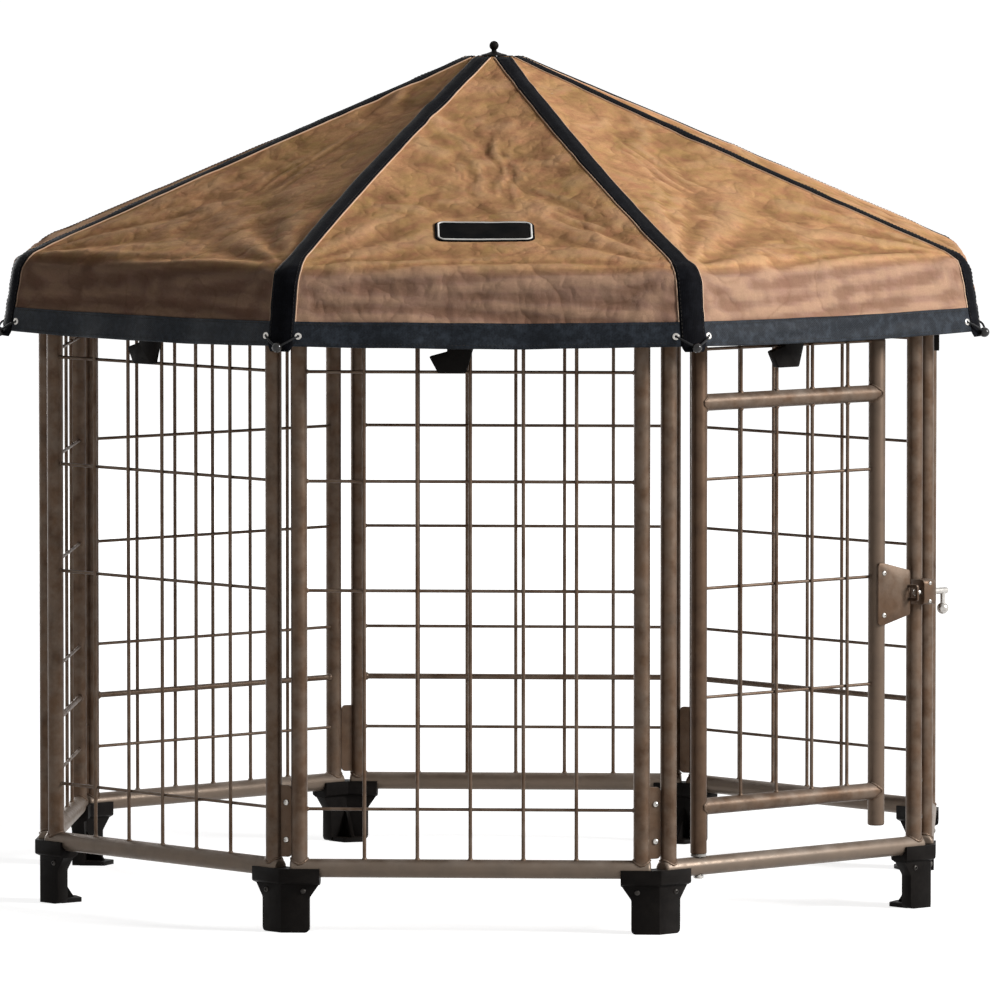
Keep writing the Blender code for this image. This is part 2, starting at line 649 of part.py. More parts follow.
def foot():
    """A moulded foot: two wings under the rails, their cups, and the pad and rib behind them."""
    past = -FOOT_WING
    leg = prism(
        rounded((
            (past, 0, 0),
            (FOOT_WING, 0, FOOT_ROUND),
            (FOOT_WING, RAIL_LOW - FOOT_FLARE_LOW, FOOT_ROUND),
            (FOOT_FLARE, RAIL_LOW - FOOT_FLARE_HIGH, 0),
            (FOOT_FLARE, RAIL_LOW - RAIL_RADIUS, 0),
            (past, RAIL_LOW - RAIL_RADIUS, 0),
        )),
        -FOOT_THICK / 2,
        FOOT_THICK / 2,
        wing_frame(),
    )
    outer = RAIL_RADIUS + CUP_WALL
    low = RAIL_LOW - CUP_DEPTH
    cup = prism(
        rounded((
            (-outer, low + CUP_WALL, CUP_WALL),
            (-FOOT_THICK / 2, low, 0),
            (FOOT_THICK / 2, low, 0),
            (outer, low + CUP_WALL, CUP_WALL),
            (outer, RAIL_LOW, 0),
            (-outer, RAIL_LOW, 0),
        )),
        past,
        FOOT_FLARE,
        Matrix.Rotation(HALF_TURN, 4, "Z") @ SIDEWAYS,
    )
    wing = settled(mirrored(combined(leg, [cup], "UNION")))
    wings = bpy.data.objects.new("wings", wing)
    bpy.context.scene.collection.objects.link(wings)
    tip = FOOT_WING * math.sin(HALF_TURN)
    pad = prism(
        rounded((
            (-FOOT_WING + PAD_THICK, tip, 0),
            (FOOT_WING - PAD_THICK, tip, 0),
            (PAD_NOSE, PAD_REACH, PAD_THICK),
            (-PAD_NOSE, PAD_REACH, PAD_THICK),
        )),
        0,
        PAD_THICK,
        FLAT,
    )
    rib_top = RAIL_LOW - RIB_DROP
    rib = prism(
        ((0, PAD_THICK / 2), (PAD_REACH - PAD_THICK, PAD_THICK / 2), (FOOT_THICK / 2, rib_top), (0, rib_top)),
        -RIB_THICK / 2,
        RIB_THICK / 2,
        SIDEWAYS,
    )
    body = combined(wings, [pad, rib], "UNION")
    return settled(combined(body, [rail_ends(RAIL_LOW)], "DIFFERENCE"))


def hip_height(reach):
    return ROOF_TOP - (reach - ROOF_TOP_REACH) * HIP_FALL


def pole_point(reach):
    """A point on a pole's centre line. The pole falls a little less steeply than the canopy's hip."""
    high = hip_height(ROOF_TOP_REACH) - POLE_BELOW - POLE_DROP
    low = hip_height(POLE_END) - POLE_BELOW
    share = (reach - ROOF_TOP_REACH) / (POLE_END - ROOF_TOP_REACH)
    return Vector((0, -reach, high + (low - high) * share))


def top_bracket():
    """A moulded cap over two rail ends, with a web between the posts and a cradle for the pole."""
    past = -BRACKET_WING
    outer = RAIL_RADIUS + CUP_WALL
    high = RAIL_HIGH + outer + CUP_WALL / 2
    cap = prism(
        rounded((
            (-outer, RAIL_HIGH, 0),
            (outer, RAIL_HIGH, 0),
            (outer, high, 2 * CUP_WALL),
            (-outer, high, 2 * CUP_WALL),
        )),
        past,
        BRACKET_WING,
        Matrix.Rotation(HALF_TURN, 4, "Z") @ SIDEWAYS,
    )
    caps = bpy.data.objects.new("caps", settled(mirrored(cap)))
    bpy.context.scene.collection.objects.link(caps)
    web_y = CORNER_TO_POST * math.sin(HALF_TURN)
    web_low = RAIL_HIGH - BRACKET_WEB_DROP
    web = prism(
        rounded((
            (-BRACKET_WEB_WIDE / 2, web_low + BRACKET_WEB_WIDE / 2, 0),
            (BRACKET_WEB_WIDE / 2, web_low, BRACKET_WEB_ROUND),
            (BRACKET_WEB_WIDE / 2, RAIL_HIGH + CUP_WALL, 0),
            (-BRACKET_WEB_WIDE / 2, RAIL_HIGH + CUP_WALL, 0),
        )),
        web_y - BRACKET_WEB_THICK / 2,
        web_y + BRACKET_WEB_THICK / 2,
        FACING,
    )
    axis = pole_point(CORNER_REACH)
    tilt = math.atan2(pole_point(POLE_START).z - pole_point(POLE_END).z, POLE_END - POLE_START)
    height = axis.z
    stem = prism(
        (
            (-STEM_DEEP / 2, high - CUP_WALL),
            (STEM_DEEP / 2, high - CUP_WALL),
            (STEM_DEEP / 2, height),
            (-STEM_DEEP / 2, height - POLE_DIA / 2),
        ),
        -STEM_WIDE / 2,
        STEM_WIDE / 2,
        SIDEWAYS,
    )
    below = POLE_DIA / 2 + CRADLE_WALL
    along_pole = Matrix.Translation((0, 0, height)) @ Matrix.Rotation(tilt, 4, "X")
    cradle = prism(
        rounded((
            (-CRADLE_WIDE / 2, 0, 0),
            (-CRADLE_WIDE / 2, -below, CRADLE_WALL),
            (CRADLE_WIDE / 2, -below, CRADLE_WALL),
            (CRADLE_WIDE / 2, 0, 0),
        )),
        -CRADLE_LENGTH / 2,
        CRADLE_LENGTH / 2,
        along_pole @ FACING,
    )
    body = combined(caps, [web, stem, cradle], "UNION")
    shift = Vector((0, CORNER_REACH, 0))
    pole = rods([(pole_point(POLE_START) + shift, pole_point(POLE_END) + shift)], POLE_DIA + 2 * SEAT_GAP)
    return settled(combined(body, [rail_ends(RAIL_HIGH), pole], "DIFFERENCE"))


def add_corners():
    feet, brackets = foot(), top_bracket()
    for index in range(SIDES):
        turn = (index + 0.5) * TURN
        place(f"foot_{index + 1}", feet, BLACK, turn, CORNER_REACH)
        place(f"top_bracket_{index + 1}", brackets, BLACK, turn, CORNER_REACH)


# Canopy clips


def canopy_clip():
    """A clip that snaps over the top rail, with a tongue down its front and a lug to one side."""
    inner, outer = RAIL_RADIUS + SEAT_GAP, RAIL_RADIUS + SEAT_GAP + CLIP_WALL
    top, half = RAIL_HIGH - RAIL_RADIUS - CLIP_WALL, CLIP_WIDE / 2
    proud = CLIP_WALL / 6
    steps = CLIP_ARCH_STEPS
    over = [math.pi * step / steps for step in range(steps + 1)]
    arch = [(outer * math.cos(a), RAIL_HIGH + outer * math.sin(a)) for a in over]
    arch.append((-outer, top - CLIP_WALL))
    arch.append((-inner, top - CLIP_WALL))
    arch += [(inner * math.cos(a), RAIL_HIGH + inner * math.sin(a)) for a in reversed(over)]
    hook = prism(arch, CLIP_X - half + proud, CLIP_X + half - proud, SIDEWAYS)
    bottom = RAIL_HIGH - CLIP_TONGUE
    tongue = prism(
        rounded((
            (CLIP_X + half, top, 0),
            (CLIP_X + half, RAIL_HIGH - CLIP_TONGUE / 2, CLIP_WALL),
            (CLIP_X + CLIP_TOE, bottom, CLIP_WALL),
            (CLIP_X - CLIP_LUG_FOOT, bottom, CLIP_WALL),
            (CLIP_X - CLIP_LUG_REACH, RAIL_HIGH - CLIP_LUG_DROP, CLIP_WALL / 2),
            (CLIP_X - half, RAIL_HIGH - CLIP_NECK, CLIP_WALL / 2),
            (CLIP_X - half, top, 0),
        )),
        -outer - proud,
        -CLIP_TONGUE_BACK,
        FACING,
    )
    return settled(combined(hook, [tongue], "UNION"))


def add_clips():
    clip = canopy_clip()
    for index, side in enumerate(SIDE_NAMES):
        place(f"canopy_clip_{side}", clip, BLACK, index * TURN, PANEL_REACH)


# Roof


def roof_pole():
    return settled(rods([(pole_point(POLE_START), pole_point(POLE_END))], POLE_DIA, rounding=POLE_END_ROUND))


def roof_hub():
    """The moulded hub under the canopy's top, bored for the eight poles and the finial."""
    top = ROOF_TOP - CANOPY_THICK - HUB_TOP_CLEAR
    rim = top - (HUB_REACH / math.cos(HALF_TURN) - ROOF_TOP_REACH) * HIP_FALL
    hub = turned(
        (
            (0, top),
            (ROOF_TOP_REACH - CUP_WALL, top),
            (HUB_REACH, rim),
            (HUB_REACH, rim - HUB_SKIRT),
            (HUB_WAIST, top - HUB_TALL + CUP_WALL),
            (HUB_WAIST - CUP_WALL, top - HUB_TALL),
            (0, top - HUB_TALL),
        ),
        HUB_FACES,
    )
    pole = (pole_point(POLE_START - SEAT_GAP), pole_point(2 * HUB_REACH))
    runs = [[Matrix.Rotation((index + 0.5) * TURN, 3, "Z") @ end for end in pole] for index in range(SIDES)]
    sockets = rods(runs, POLE_DIA + 2 * SEAT_GAP)
    stem = rods(
        [((0, 0, ROOF_CROWN - FINIAL_STEM_DEPTH - SEAT_GAP), (0, 0, ROOF_CROWN))],
        FINIAL_STEM_DIA + 2 * SEAT_GAP,
    )
    return settled(combined(hub, [sockets, stem], "DIFFERENCE"))


def finial():
    """The knob on top: a stem into the hub, a flange over the canopy's hole, and a ball."""
    seat = ROOF_CROWN + CANOPY_THICK / 2 + SEAT_GAP
    flange = FINIAL_FLANGE_DIA / 2
    ball = FINIAL_BALL_DIA / 2
    top = ROOF_CROWN + FINIAL_TALL
    centre = top - ball
    neck = FINIAL_NECK_DIA / 2
    angles = [math.radians(angle) for angle in (90, 60, 30, 0, -30)]
    profile = [(ball * math.cos(a), centre + ball * math.sin(a)) for a in angles]
    profile[0] = (0, top)
    profile += [(neck, centre - ball), (FINIAL_CONE_DIA / 2, seat + FINIAL_CONE)]
    profile += [(flange, seat + FINIAL_EDGE), (flange, seat)]
    stem = FINIAL_STEM_DIA / 2
    profile += [(stem, seat), (stem, ROOF_CROWN - FINIAL_STEM_DEPTH), (0, ROOF_CROWN - FINIAL_STEM_DEPTH)]
    return settled(turned(profile, FINIAL_FACES))


def gore_rows():
    """(reach along the hip, height, share of the slope, share of the valance) down a gore."""
    rows = [(ROOF_HOLE, ROOF_CROWN, 0.0, 0.0), (ROOF_TOP_REACH, ROOF_TOP, 0.0, 0.0)]
    for step in range(1, GORE_SLOPE_ROWS + 1):
        share = step / GORE_SLOPE_ROWS
        reach = ROOF_TOP_REACH + (EAVE_REACH - ROOF_TOP_REACH) * share
        rows.append((reach, hip_height(reach), share, 0.0))
    for step in range(1, EAVE_STEPS + 1):
        angle = math.pi / 2 * step / EAVE_STEPS
        reach = EAVE_REACH + EAVE_OUT * math.sin(angle)
        rows.append((reach, EAVE_HEIGHT - EAVE_DOWN * (1 - math.cos(angle)), 1.0, 0.0))
    reach, height = rows[-1][:2]
    for step in range(1, VALANCE_ROWS + 1):
        share = step / VALANCE_ROWS
        rows.append((reach + VALANCE_FLARE * share, height - VALANCE_DROP * share, 1.0, share))
    return rows


def gore():
    """One gore and its length of valance, as a skin of even thickness cut square at the hips."""
    rows = gore_rows()
    line = [Vector((reach * math.cos(HALF_TURN), height)) for reach, height, _, _ in rows]
    bm = bmesh.new()
    skins = []
    for side in (1, -1):
        grid = []
        for index, (here, row) in enumerate(zip(line, rows)):
            along = (line[min(index + 1, len(line) - 1)] - line[max(index - 1, 0)]).normalized()
            outward = Vector((-along.y, along.x))
            edge = here + outward * (side * CANOPY_THICK / 2)
            half_width = edge.x * math.tan(HALF_TURN) - GORE_GAP / 2
            verts = []
            for column in range(GORE_COLUMNS + 1):
                across = 2 * column / GORE_COLUMNS - 1
                sag = GORE_SAG * (1 - across**2) * math.sin(math.pi * row[2])
                sway = VALANCE_SWAY * (1 - across**2) * math.sin(math.pi * VALANCE_WAVES * across) * row[3]
                place_at = edge - outward * (sag + sway)
                verts.append(bm.verts.new((across * half_width, -place_at.x, place_at.y)))
            grid.append(verts)
        skins.append(grid)
    outer, inner = skins
    last = len(rows) - 1
    for row in range(last):
        for column in range(GORE_COLUMNS):
            for grid in skins:
                upper, lower = grid[row], grid[row + 1]
                bm.faces.new((upper[column], upper[column + 1], lower[column + 1], lower[column]))
        for column in (0, GORE_COLUMNS):
            bm.faces.new((outer[row][column], outer[row + 1][column], inner[row + 1][column], inner[row][column]))
    for row in (0, last):
        for column in range(GORE_COLUMNS):
            bm.faces.new((outer[row][column], outer[row][column + 1], inner[row][column + 1], inner[row][column]))
    return settled(loose(bm))


def add_roof():
    pole, cloth = roof_pole(), gore()
    for index in range(SIDES):
        place(f"roof_pole_{index + 1}", pole, BRONZE, (index + 0.5) * TURN)
    for index, side in enumerate(SIDE_NAMES):
        place(f"canopy_gore_{side}", cloth, CANVAS, index * TURN)
    place("roof_hub", roof_hub(), BLACK)
    place("finial", finial(), BLACK)


def main():
    clear_scene()
    add_panels()
    add_door()
    add_corners()
    add_clips()
    add_roof()


if __name__ == "__main__":
    main()
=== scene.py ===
"""Dresses the pet gazebo: painted tube and wire panels, moulded corners and a sewn canopy.

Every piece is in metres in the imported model's own space, and rides on one of its bodies.
"""

import json
import logging
from dataclasses import dataclass, field
from enum import Enum
from math import atan2, cos, hypot, pi, radians, sin, sqrt, tan, tau
from typing import Any, Callable, Iterable, Mapping, Sequence

import bmesh
import bpy
import numpy as np
from bpy.types import ID, Material, Mesh, Modifier, Node, NodeSocket, NodeTree, Object
from mathutils import Matrix, Vector


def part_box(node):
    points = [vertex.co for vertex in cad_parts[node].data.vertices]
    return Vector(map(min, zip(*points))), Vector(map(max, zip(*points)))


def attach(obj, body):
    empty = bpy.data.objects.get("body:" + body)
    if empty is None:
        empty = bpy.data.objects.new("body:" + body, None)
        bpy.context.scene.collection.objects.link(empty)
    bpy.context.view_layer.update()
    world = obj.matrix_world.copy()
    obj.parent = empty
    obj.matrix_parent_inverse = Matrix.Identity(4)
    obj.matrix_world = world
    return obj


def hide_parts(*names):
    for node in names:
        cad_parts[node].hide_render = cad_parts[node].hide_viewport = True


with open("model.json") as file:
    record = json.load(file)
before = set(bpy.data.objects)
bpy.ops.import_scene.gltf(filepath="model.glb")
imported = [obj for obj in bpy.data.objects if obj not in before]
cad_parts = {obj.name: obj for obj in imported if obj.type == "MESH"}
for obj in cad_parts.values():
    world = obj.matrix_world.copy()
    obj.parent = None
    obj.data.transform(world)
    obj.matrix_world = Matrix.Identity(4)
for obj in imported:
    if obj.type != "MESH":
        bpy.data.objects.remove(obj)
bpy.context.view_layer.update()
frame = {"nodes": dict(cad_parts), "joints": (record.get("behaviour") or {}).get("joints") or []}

LOG = logging.getLogger("pet_gazebo")
Array = np.ndarray

SIDES = ("front", "front_right", "right", "rear_right", "rear", "rear_left", "left", "front_left")
COUNT = len(SIDES)
TURN = tau / COUNT
HALF_TURN = TURN / 2
SMOOTH_ANGLE = radians(38)
FLAT_ANGLE = radians(1)
WELD_GAP = 0.00002
WELD_STEPS = 40
SUNK = 0.95             # how far up a tube's radius a wire's end bead sits
END_BEAD = 1.5          # bead radii, in radii of the wire
CROSS_BEAD = 1.02


class Body(Enum):
    """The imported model's bodies."""

    FRAME = "frame"
    DOOR = "door"
    LATCH = "latch"


class Slot(Enum):
    """The record's material slots."""

    POWDER_COAT = "bronze_powder_coat"
    MOULDING = "black_moulding"
    ZINC = "zinc_plated_steel"
    NYLON = "grey_nylon"
    CANVAS = "tan_canvas"


# Node trees


class Graph:
    """A node tree that is written as calls.

    Args:
        tree: The shader or geometry tree to build in.
    """

    def __init__(self, tree: NodeTree) -> None:
        """Keeps the tree."""
        self.tree = tree

    def add(self, kind: str, inputs: Mapping[Any, Any] | None = None, **settings: Any) -> Node:
        """Adds a node and sets or links its inputs.

        Args:
            kind: The node's type name.
            inputs: Values or output sockets, by the input's name or index.
            **settings: The node's own properties.

        Returns:
            The node.
        """
        node = self.tree.nodes.new(kind)
        for key, value in settings.items():
            setattr(node, key, value)
        for key, value in (inputs or {}).items():
            if isinstance(value, NodeSocket):
                self.tree.links.new(value, node.inputs[key])
            else:
                node.inputs[key].default_value = value
        return node

    def maths(self, operation: str, first: Any, second: Any = 0.0) -> NodeSocket:
        """Returns the result of a Math node."""
        return self.add("ShaderNodeMath", {0: first, 1: second}, operation=operation).outputs[0]

    def blend(self, factor: Any, first: Any, second: Any) -> NodeSocket:
        """Returns a colour between two colours."""
        node = self.add("ShaderNodeMix", {0: factor, 6: first, 7: second}, data_type="RGBA")
        return node.outputs[2]

    def span(
        self, value: Any, low: float, high: float, start: float = 0.0, end: float = 1.0
    ) -> NodeSocket:
        """Returns the value spread from low..high to start..end, and held there."""
        inputs = {"Value": value, "From Min": low, "From Max": high, "To Min": start, "To Max": end}
        return self.add("ShaderNodeMapRange", inputs).outputs[0]

    def noise(self, vector: Any, scale: Any, detail: float = 3.0, rough: float = 0.55) -> NodeSocket:
        """Returns the value of a noise."""
        inputs = {"Vector": vector, "Scale": scale, "Detail": detail, "Roughness": rough}
        return self.add("ShaderNodeTexNoise", inputs).outputs[0]


def grouped(
    name: str, kind: str, inputs: Mapping[str, tuple], outputs: Mapping[str, str]
) -> tuple[Graph, Node, Node]:
    """Starts a node group with named sockets.

    Args:
        name: The group's name.
        kind: ShaderNodeTree or GeometryNodeTree.
        inputs: For each input its socket type and its default.
        outputs: For each output its socket type.

    Returns:
        The graph, and its input and output nodes.
    """
    tree = bpy.data.node_groups.new(name, kind)
    for label, (socket_type, default) in inputs.items():
        socket = tree.interface.new_socket(label, in_out="INPUT", socket_type=socket_type)
        if default is not None:
            socket.default_value = default
    for label, socket_type in outputs.items():
        tree.interface.new_socket(label, in_out="OUTPUT", socket_type=socket_type)
    graph = Graph(tree)
    return graph, graph.add("NodeGroupInput"), graph.add("NodeGroupOutput")


FLOAT, COLOUR, VECTOR = "NodeSocketFloat", "NodeSocketColor", "NodeSocketVector"


class Effects:
    """The effects that several finishes share, each one a node group."""

    def __init__(self) -> None:
        """Makes each node group once."""
        self.grain = self._grain()
        self.patches = self._patches()
        self.edges = self._edges()
        self.weave = self._weave()
        self.dust_and_painted_highlight = self._dust_and_painted_highlight()

    def _grain(self) -> NodeTree:
        """Builds a fine and a coarse roughness of a surface, as a height.

        Returns:
            The node group.
        """
        inputs = {"Vector": (VECTOR, None), "Fine": (FLOAT, 900.0)}
        inputs |= {"Coarse": (FLOAT, 60.0), "Share": (FLOAT, 0.4)}
        graph, given, out = grouped("surface_grain", "ShaderNodeTree", inputs, {"Height": FLOAT})
        fine = graph.noise(given.outputs["Vector"], given.outputs["Fine"], 2.0)
        coarse = graph.noise(given.outputs["Vector"], given.outputs["Coarse"], 2.0)
        swell = graph.maths("MULTIPLY", coarse, given.outputs["Share"])
        graph.tree.links.new(graph.maths("ADD", fine, swell), out.inputs["Height"])
        return graph.tree

    def _patches(self) -> NodeTree:
        """Builds a colour that drifts between three tones.

        Returns:
            The node group.
        """
        inputs = {
            "Vector": (VECTOR, None),
            "Scale": (FLOAT, 6.0),
            "Tone": (COLOUR, (0.5, 0.5, 0.5, 1)),
            "Warm": (COLOUR, (0.5, 0.5, 0.5, 1)),
            "Dark": (COLOUR, (0.5, 0.5, 0.5, 1)),
        }
        graph, given, out = grouped("tone_patches", "ShaderNodeTree", inputs, {"Color": COLOUR, "Mask": FLOAT})
        vector, scale = given.outputs["Vector"], given.outputs["Scale"]
        broad = graph.noise(vector, scale, 4.0, 0.62)
        small = graph.noise(vector, graph.maths("MULTIPLY", scale, 3.7), 4.0, 0.6)
        first = graph.blend(graph.span(broad, 0.38, 0.66), given.outputs["Tone"], given.outputs["Warm"])
        mask = graph.span(small, 0.44, 0.72)
        graph.tree.links.new(graph.blend(mask, first, given.outputs["Dark"]), out.inputs["Color"])
        graph.tree.links.new(mask, out.inputs["Mask"])
        return graph.tree

    def _edges(self) -> NodeTree:
        """Builds a mask of rubbed outer edges.

        Returns:
            The node group.
        """
        inputs = {"Vector": (VECTOR, None), "Amount": (FLOAT, 0.5)}
        graph, given, out = grouped("rubbed_edges", "ShaderNodeTree", inputs, {"Mask": FLOAT})
        point = graph.add("ShaderNodeNewGeometry").outputs["Pointiness"]
        edge = graph.span(point, 0.52, 0.60)
        patchy = graph.span(graph.noise(given.outputs["Vector"], 45.0, 4.0), 0.35, 0.65)
        mask = graph.maths("MULTIPLY", graph.maths("MULTIPLY", edge, patchy), given.outputs["Amount"])
        graph.tree.links.new(mask, out.inputs["Mask"])
        return graph.tree

    def _weave(self) -> NodeTree:
        """Builds the height and the shade of two crossing sets of threads.

        Returns:
            The node group.
        """
        inputs = {"Vector": (VECTOR, None), "Warp": (FLOAT, 1400.0), "Weft": (FLOAT, 1400.0)}
        outputs = {"Height": FLOAT, "Shade": FLOAT}
        graph, given, out = grouped("thread_weave", "ShaderNodeTree", inputs, outputs)
        parts = graph.add("ShaderNodeSeparateXYZ", {0: given.outputs["Vector"]})
        across = graph.maths("MULTIPLY", parts.outputs[0], given.outputs["Warp"])
        down = graph.maths("MULTIPLY", parts.outputs[1], given.outputs["Weft"])
        warp, weft = graph.maths("SINE", across), graph.maths("SINE", down)
        over = graph.maths("MULTIPLY", warp, weft)
        ridge = graph.maths("ADD", graph.maths("ABSOLUTE", warp), graph.maths("ABSOLUTE", weft))
        height = graph.maths("ADD", graph.maths("MULTIPLY", ridge, 0.35), graph.maths("MULTIPLY", over, 0.3))
        slub = graph.noise(given.outputs["Vector"], 420.0, 2.0)
        graph.tree.links.new(height, out.inputs["Height"])
        graph.tree.links.new(graph.span(slub, 0.3, 0.7), out.inputs["Shade"])
        return graph.tree

    def _dust_and_painted_highlight(self) -> NodeTree:
        """Builds a mask of dust on what faces upwards, which on the painted tubes also paints a highlight
        along the tops of the rails.

        Returns:
            The node group.
        """
        inputs = {"Vector": (VECTOR, None), "Amount": (FLOAT, 0.3)}
        graph, given, out = grouped("settled_dust_and_painted_highlight", "ShaderNodeTree", inputs, {"Mask": FLOAT})
        normal = graph.add("ShaderNodeNewGeometry").outputs["Normal"]
        up = graph.add("ShaderNodeSeparateXYZ", {0: normal}).outputs[2]
        drift = graph.span(graph.noise(given.outputs["Vector"], 22.0, 4.0), 0.40, 0.70)
        mask = graph.maths("MULTIPLY", graph.span(up, 0.15, 0.9), drift)
        graph.tree.links.new(graph.maths("MULTIPLY", mask, given.outputs["Amount"]), out.inputs["Mask"])
        return graph.tree


class Surface(Graph):
    """One material's tree, with its shader and its coordinates at hand."""

    def __init__(self, name: str, constants: Mapping[str, Any]) -> None:
        """Starts the material.

        Args:
            name: The material's name.
            constants: Values of the shader's own sockets.
        """
        self.material = bpy.data.materials.new(name)
        self.material.use_nodes = True
        super().__init__(self.material.node_tree)
        self.shader = self.tree.nodes["Principled BSDF"]
        for label, value in constants.items():
            self.shader.inputs[label].default_value = value
        place = self.add("ShaderNodeTexCoord")
        self.place, self.cloth = place.outputs["Object"], place.outputs["UV"]

    def effect(self, group: NodeTree, **inputs: Any) -> Node:
        """Places an effect's group.

        Args:
            group: The node group.
            **inputs: Its values or output sockets, by the input's name.

        Returns:
            The group's node.
        """
        node = self.add("ShaderNodeGroup", node_tree=group)
        for label, value in inputs.items():
            if isinstance(value, NodeSocket):
                self.tree.links.new(value, node.inputs[label])
            else:
                node.inputs[label].default_value = value
        return node

    def feed(self, label: str, value: NodeSocket) -> None:
        """Links a value to the shader."""
        self.tree.links.new(value, self.shader.inputs[label])

    def bump(self, height: NodeSocket, distance: float, strength: float = 1.0) -> None:
        """Gives the shader a bump of a height, in metres."""
        inputs = {"Height": height, "Distance": distance, "Strength": strength}
        self.feed("Normal", self.add("ShaderNodeBump", inputs).outputs[0])

    def crease(self, scale: float) -> NodeSocket:
        """Returns 1 along thin wandering creases, and less away from them."""
        drift = self.maths("SUBTRACT", self.noise(self.place, scale, 2.0, 0.5), 0.5)
        return self.span(self.maths("ABSOLUTE", drift), 0.0, 0.16, 1.0, 0.0)

    def mask(self, name: str) -> NodeSocket:
        """Returns the value of one of the mesh's own attributes."""
        return self.add("ShaderNodeAttribute", attribute_name=name).outputs["Fac"]


def rgba(colour: Sequence[float]) -> tuple[float, ...]:
    """Returns the colour with full cover."""
    return (*colour, 1.0)


@dataclass(frozen=True)
class PowderCoat:
    """Satin bronze-brown paint on tube and wire: paler on welds, with rubbed edges, and with a painted
    highlight on tube ends and along the tops of rails.
    """

    colour: tuple = (0.102, 0.061, 0.0375)
    dark: tuple = (0.067, 0.039, 0.0235)
    warm: tuple = (0.118, 0.071, 0.044)
    # bare is the colour of rubbed edges and welds, and of the painted highlight on tube ends
    bare: tuple = (0.26, 0.22, 0.18)
    # Dust on what faces upwards, and on the tubes the painted highlight along the tops of the rails
    dust_and_painted_highlight: tuple = (0.36, 0.31, 0.27)

    def material(self, effects: Effects) -> Material:
        """Builds the finish.

        Args:
            effects: The shared node groups.

        Returns:
            The material.
        """
        paint = Surface(Slot.POWDER_COAT.value, {"Metallic": 0.42, "Specular IOR Level": 0.10})
        tones = {"Tone": rgba(self.colour), "Warm": rgba(self.warm), "Dark": rgba(self.dark)}
        tone = paint.effect(effects.patches, Vector=paint.place, Scale=9.0, **tones)
        rub = paint.effect(effects.edges, Vector=paint.place, Amount=0.3).outputs[0]
        # Rubbed edges, paler welds, and the painted highlight that the mesh's shine puts on tube ends
        worn = paint.maths("MAXIMUM", rub, paint.mask("shine"))
        # Dust and a painted highlight on what faces upwards, brightest along the tops of the rails
        dust_and_painted_highlight = paint.effect(effects.dust_and_painted_highlight, Vector=paint.place, Amount=0.45).outputs[0]
        bare = paint.blend(worn, tone.outputs["Color"], rgba(self.bare))
        paint.feed("Base Color", paint.blend(dust_and_painted_highlight, bare, rgba(self.dust_and_painted_highlight)))
        scuffs = paint.span(paint.noise(paint.place, 130.0, 4.0), 0.35, 0.70, 0.34, 0.50)
        paint.feed("Roughness", paint.maths("ADD", scuffs, paint.maths("MULTIPLY", dust_and_painted_highlight, 0.5)))
        grain = paint.effect(effects.grain, Vector=paint.place, Fine=1300.0, Coarse=160.0, Share=0.8)
        paint.bump(grain.outputs[0], 0.00012, 0.5)
        return paint.material


@dataclass(frozen=True)
class Moulding:
    """Black injection-moulded plastic with a fine spark-eroded grain."""

    name: str = Slot.MOULDING.value
    colour: tuple = (0.0060, 0.0049, 0.0044)
    pale: tuple = (0.020, 0.017, 0.015)
    dust_and_painted_highlight: tuple = (0.040, 0.033, 0.028)
    rough: tuple = (0.42, 0.60)
    specular: float = 0.05

    def material(self, effects: Effects) -> Material:
        """Builds the finish.

        Args:
            effects: The shared node groups.

        Returns:
            The material.
        """
        plastic = Surface(self.name, {"Specular IOR Level": self.specular})
        tones = {"Tone": rgba(self.colour), "Warm": rgba(self.colour), "Dark": rgba(self.pale)}
        tone = plastic.effect(effects.patches, Vector=plastic.place, Scale=14.0, **tones)
        base = plastic.blend(0.35, rgba(self.colour), tone.outputs["Color"])
        rub = plastic.effect(effects.edges, Vector=plastic.place, Amount=0.6).outputs[0]
        dust_and_painted_highlight = plastic.effect(effects.dust_and_painted_highlight, Vector=plastic.place, Amount=0.25).outputs[0]
        rubbed = plastic.blend(rub, base, rgba(self.pale))
        plastic.feed("Base Color", plastic.blend(dust_and_painted_highlight, rubbed, rgba(self.dust_and_painted_highlight)))
        plastic.feed("Roughness", plastic.span(plastic.noise(plastic.place, 55.0), 0.3, 0.7, *self.rough))
        grain = plastic.effect(effects.grain, Vector=plastic.place, Fine=1600.0, Coarse=300.0, Share=0.5)
        plastic.bump(grain.outputs[0], 0.0001, 0.6)
        return plastic.material


@dataclass(frozen=True)
class Zinc:
    """Plated steel with a faint drawn grain and dull patches."""

    colour: tuple = (0.52, 0.50, 0.47)
    dull: tuple = (0.30, 0.28, 0.26)

    def material(self, effects: Effects) -> Material:
        """Builds the finish.

        Args:
            effects: The shared node groups.

        Returns:
            The material.
        """
        metal = Surface(Slot.ZINC.value, {"Metallic": 0.92})
        tones = {"Tone": rgba(self.colour), "Warm": rgba(self.colour), "Dark": rgba(self.dull)}
        tone = metal.effect(effects.patches, Vector=metal.place, Scale=60.0, **tones)
        metal.feed("Base Color", tone.outputs["Color"])
        metal.feed("Roughness", metal.span(tone.outputs["Mask"], 0.0, 1.0, 0.26, 0.48))
        grain = metal.effect(effects.grain, Vector=metal.place, Fine=2200.0, Coarse=500.0, Share=0.4)
        metal.bump(grain.outputs[0], 0.00004, 0.6)
        return metal.material


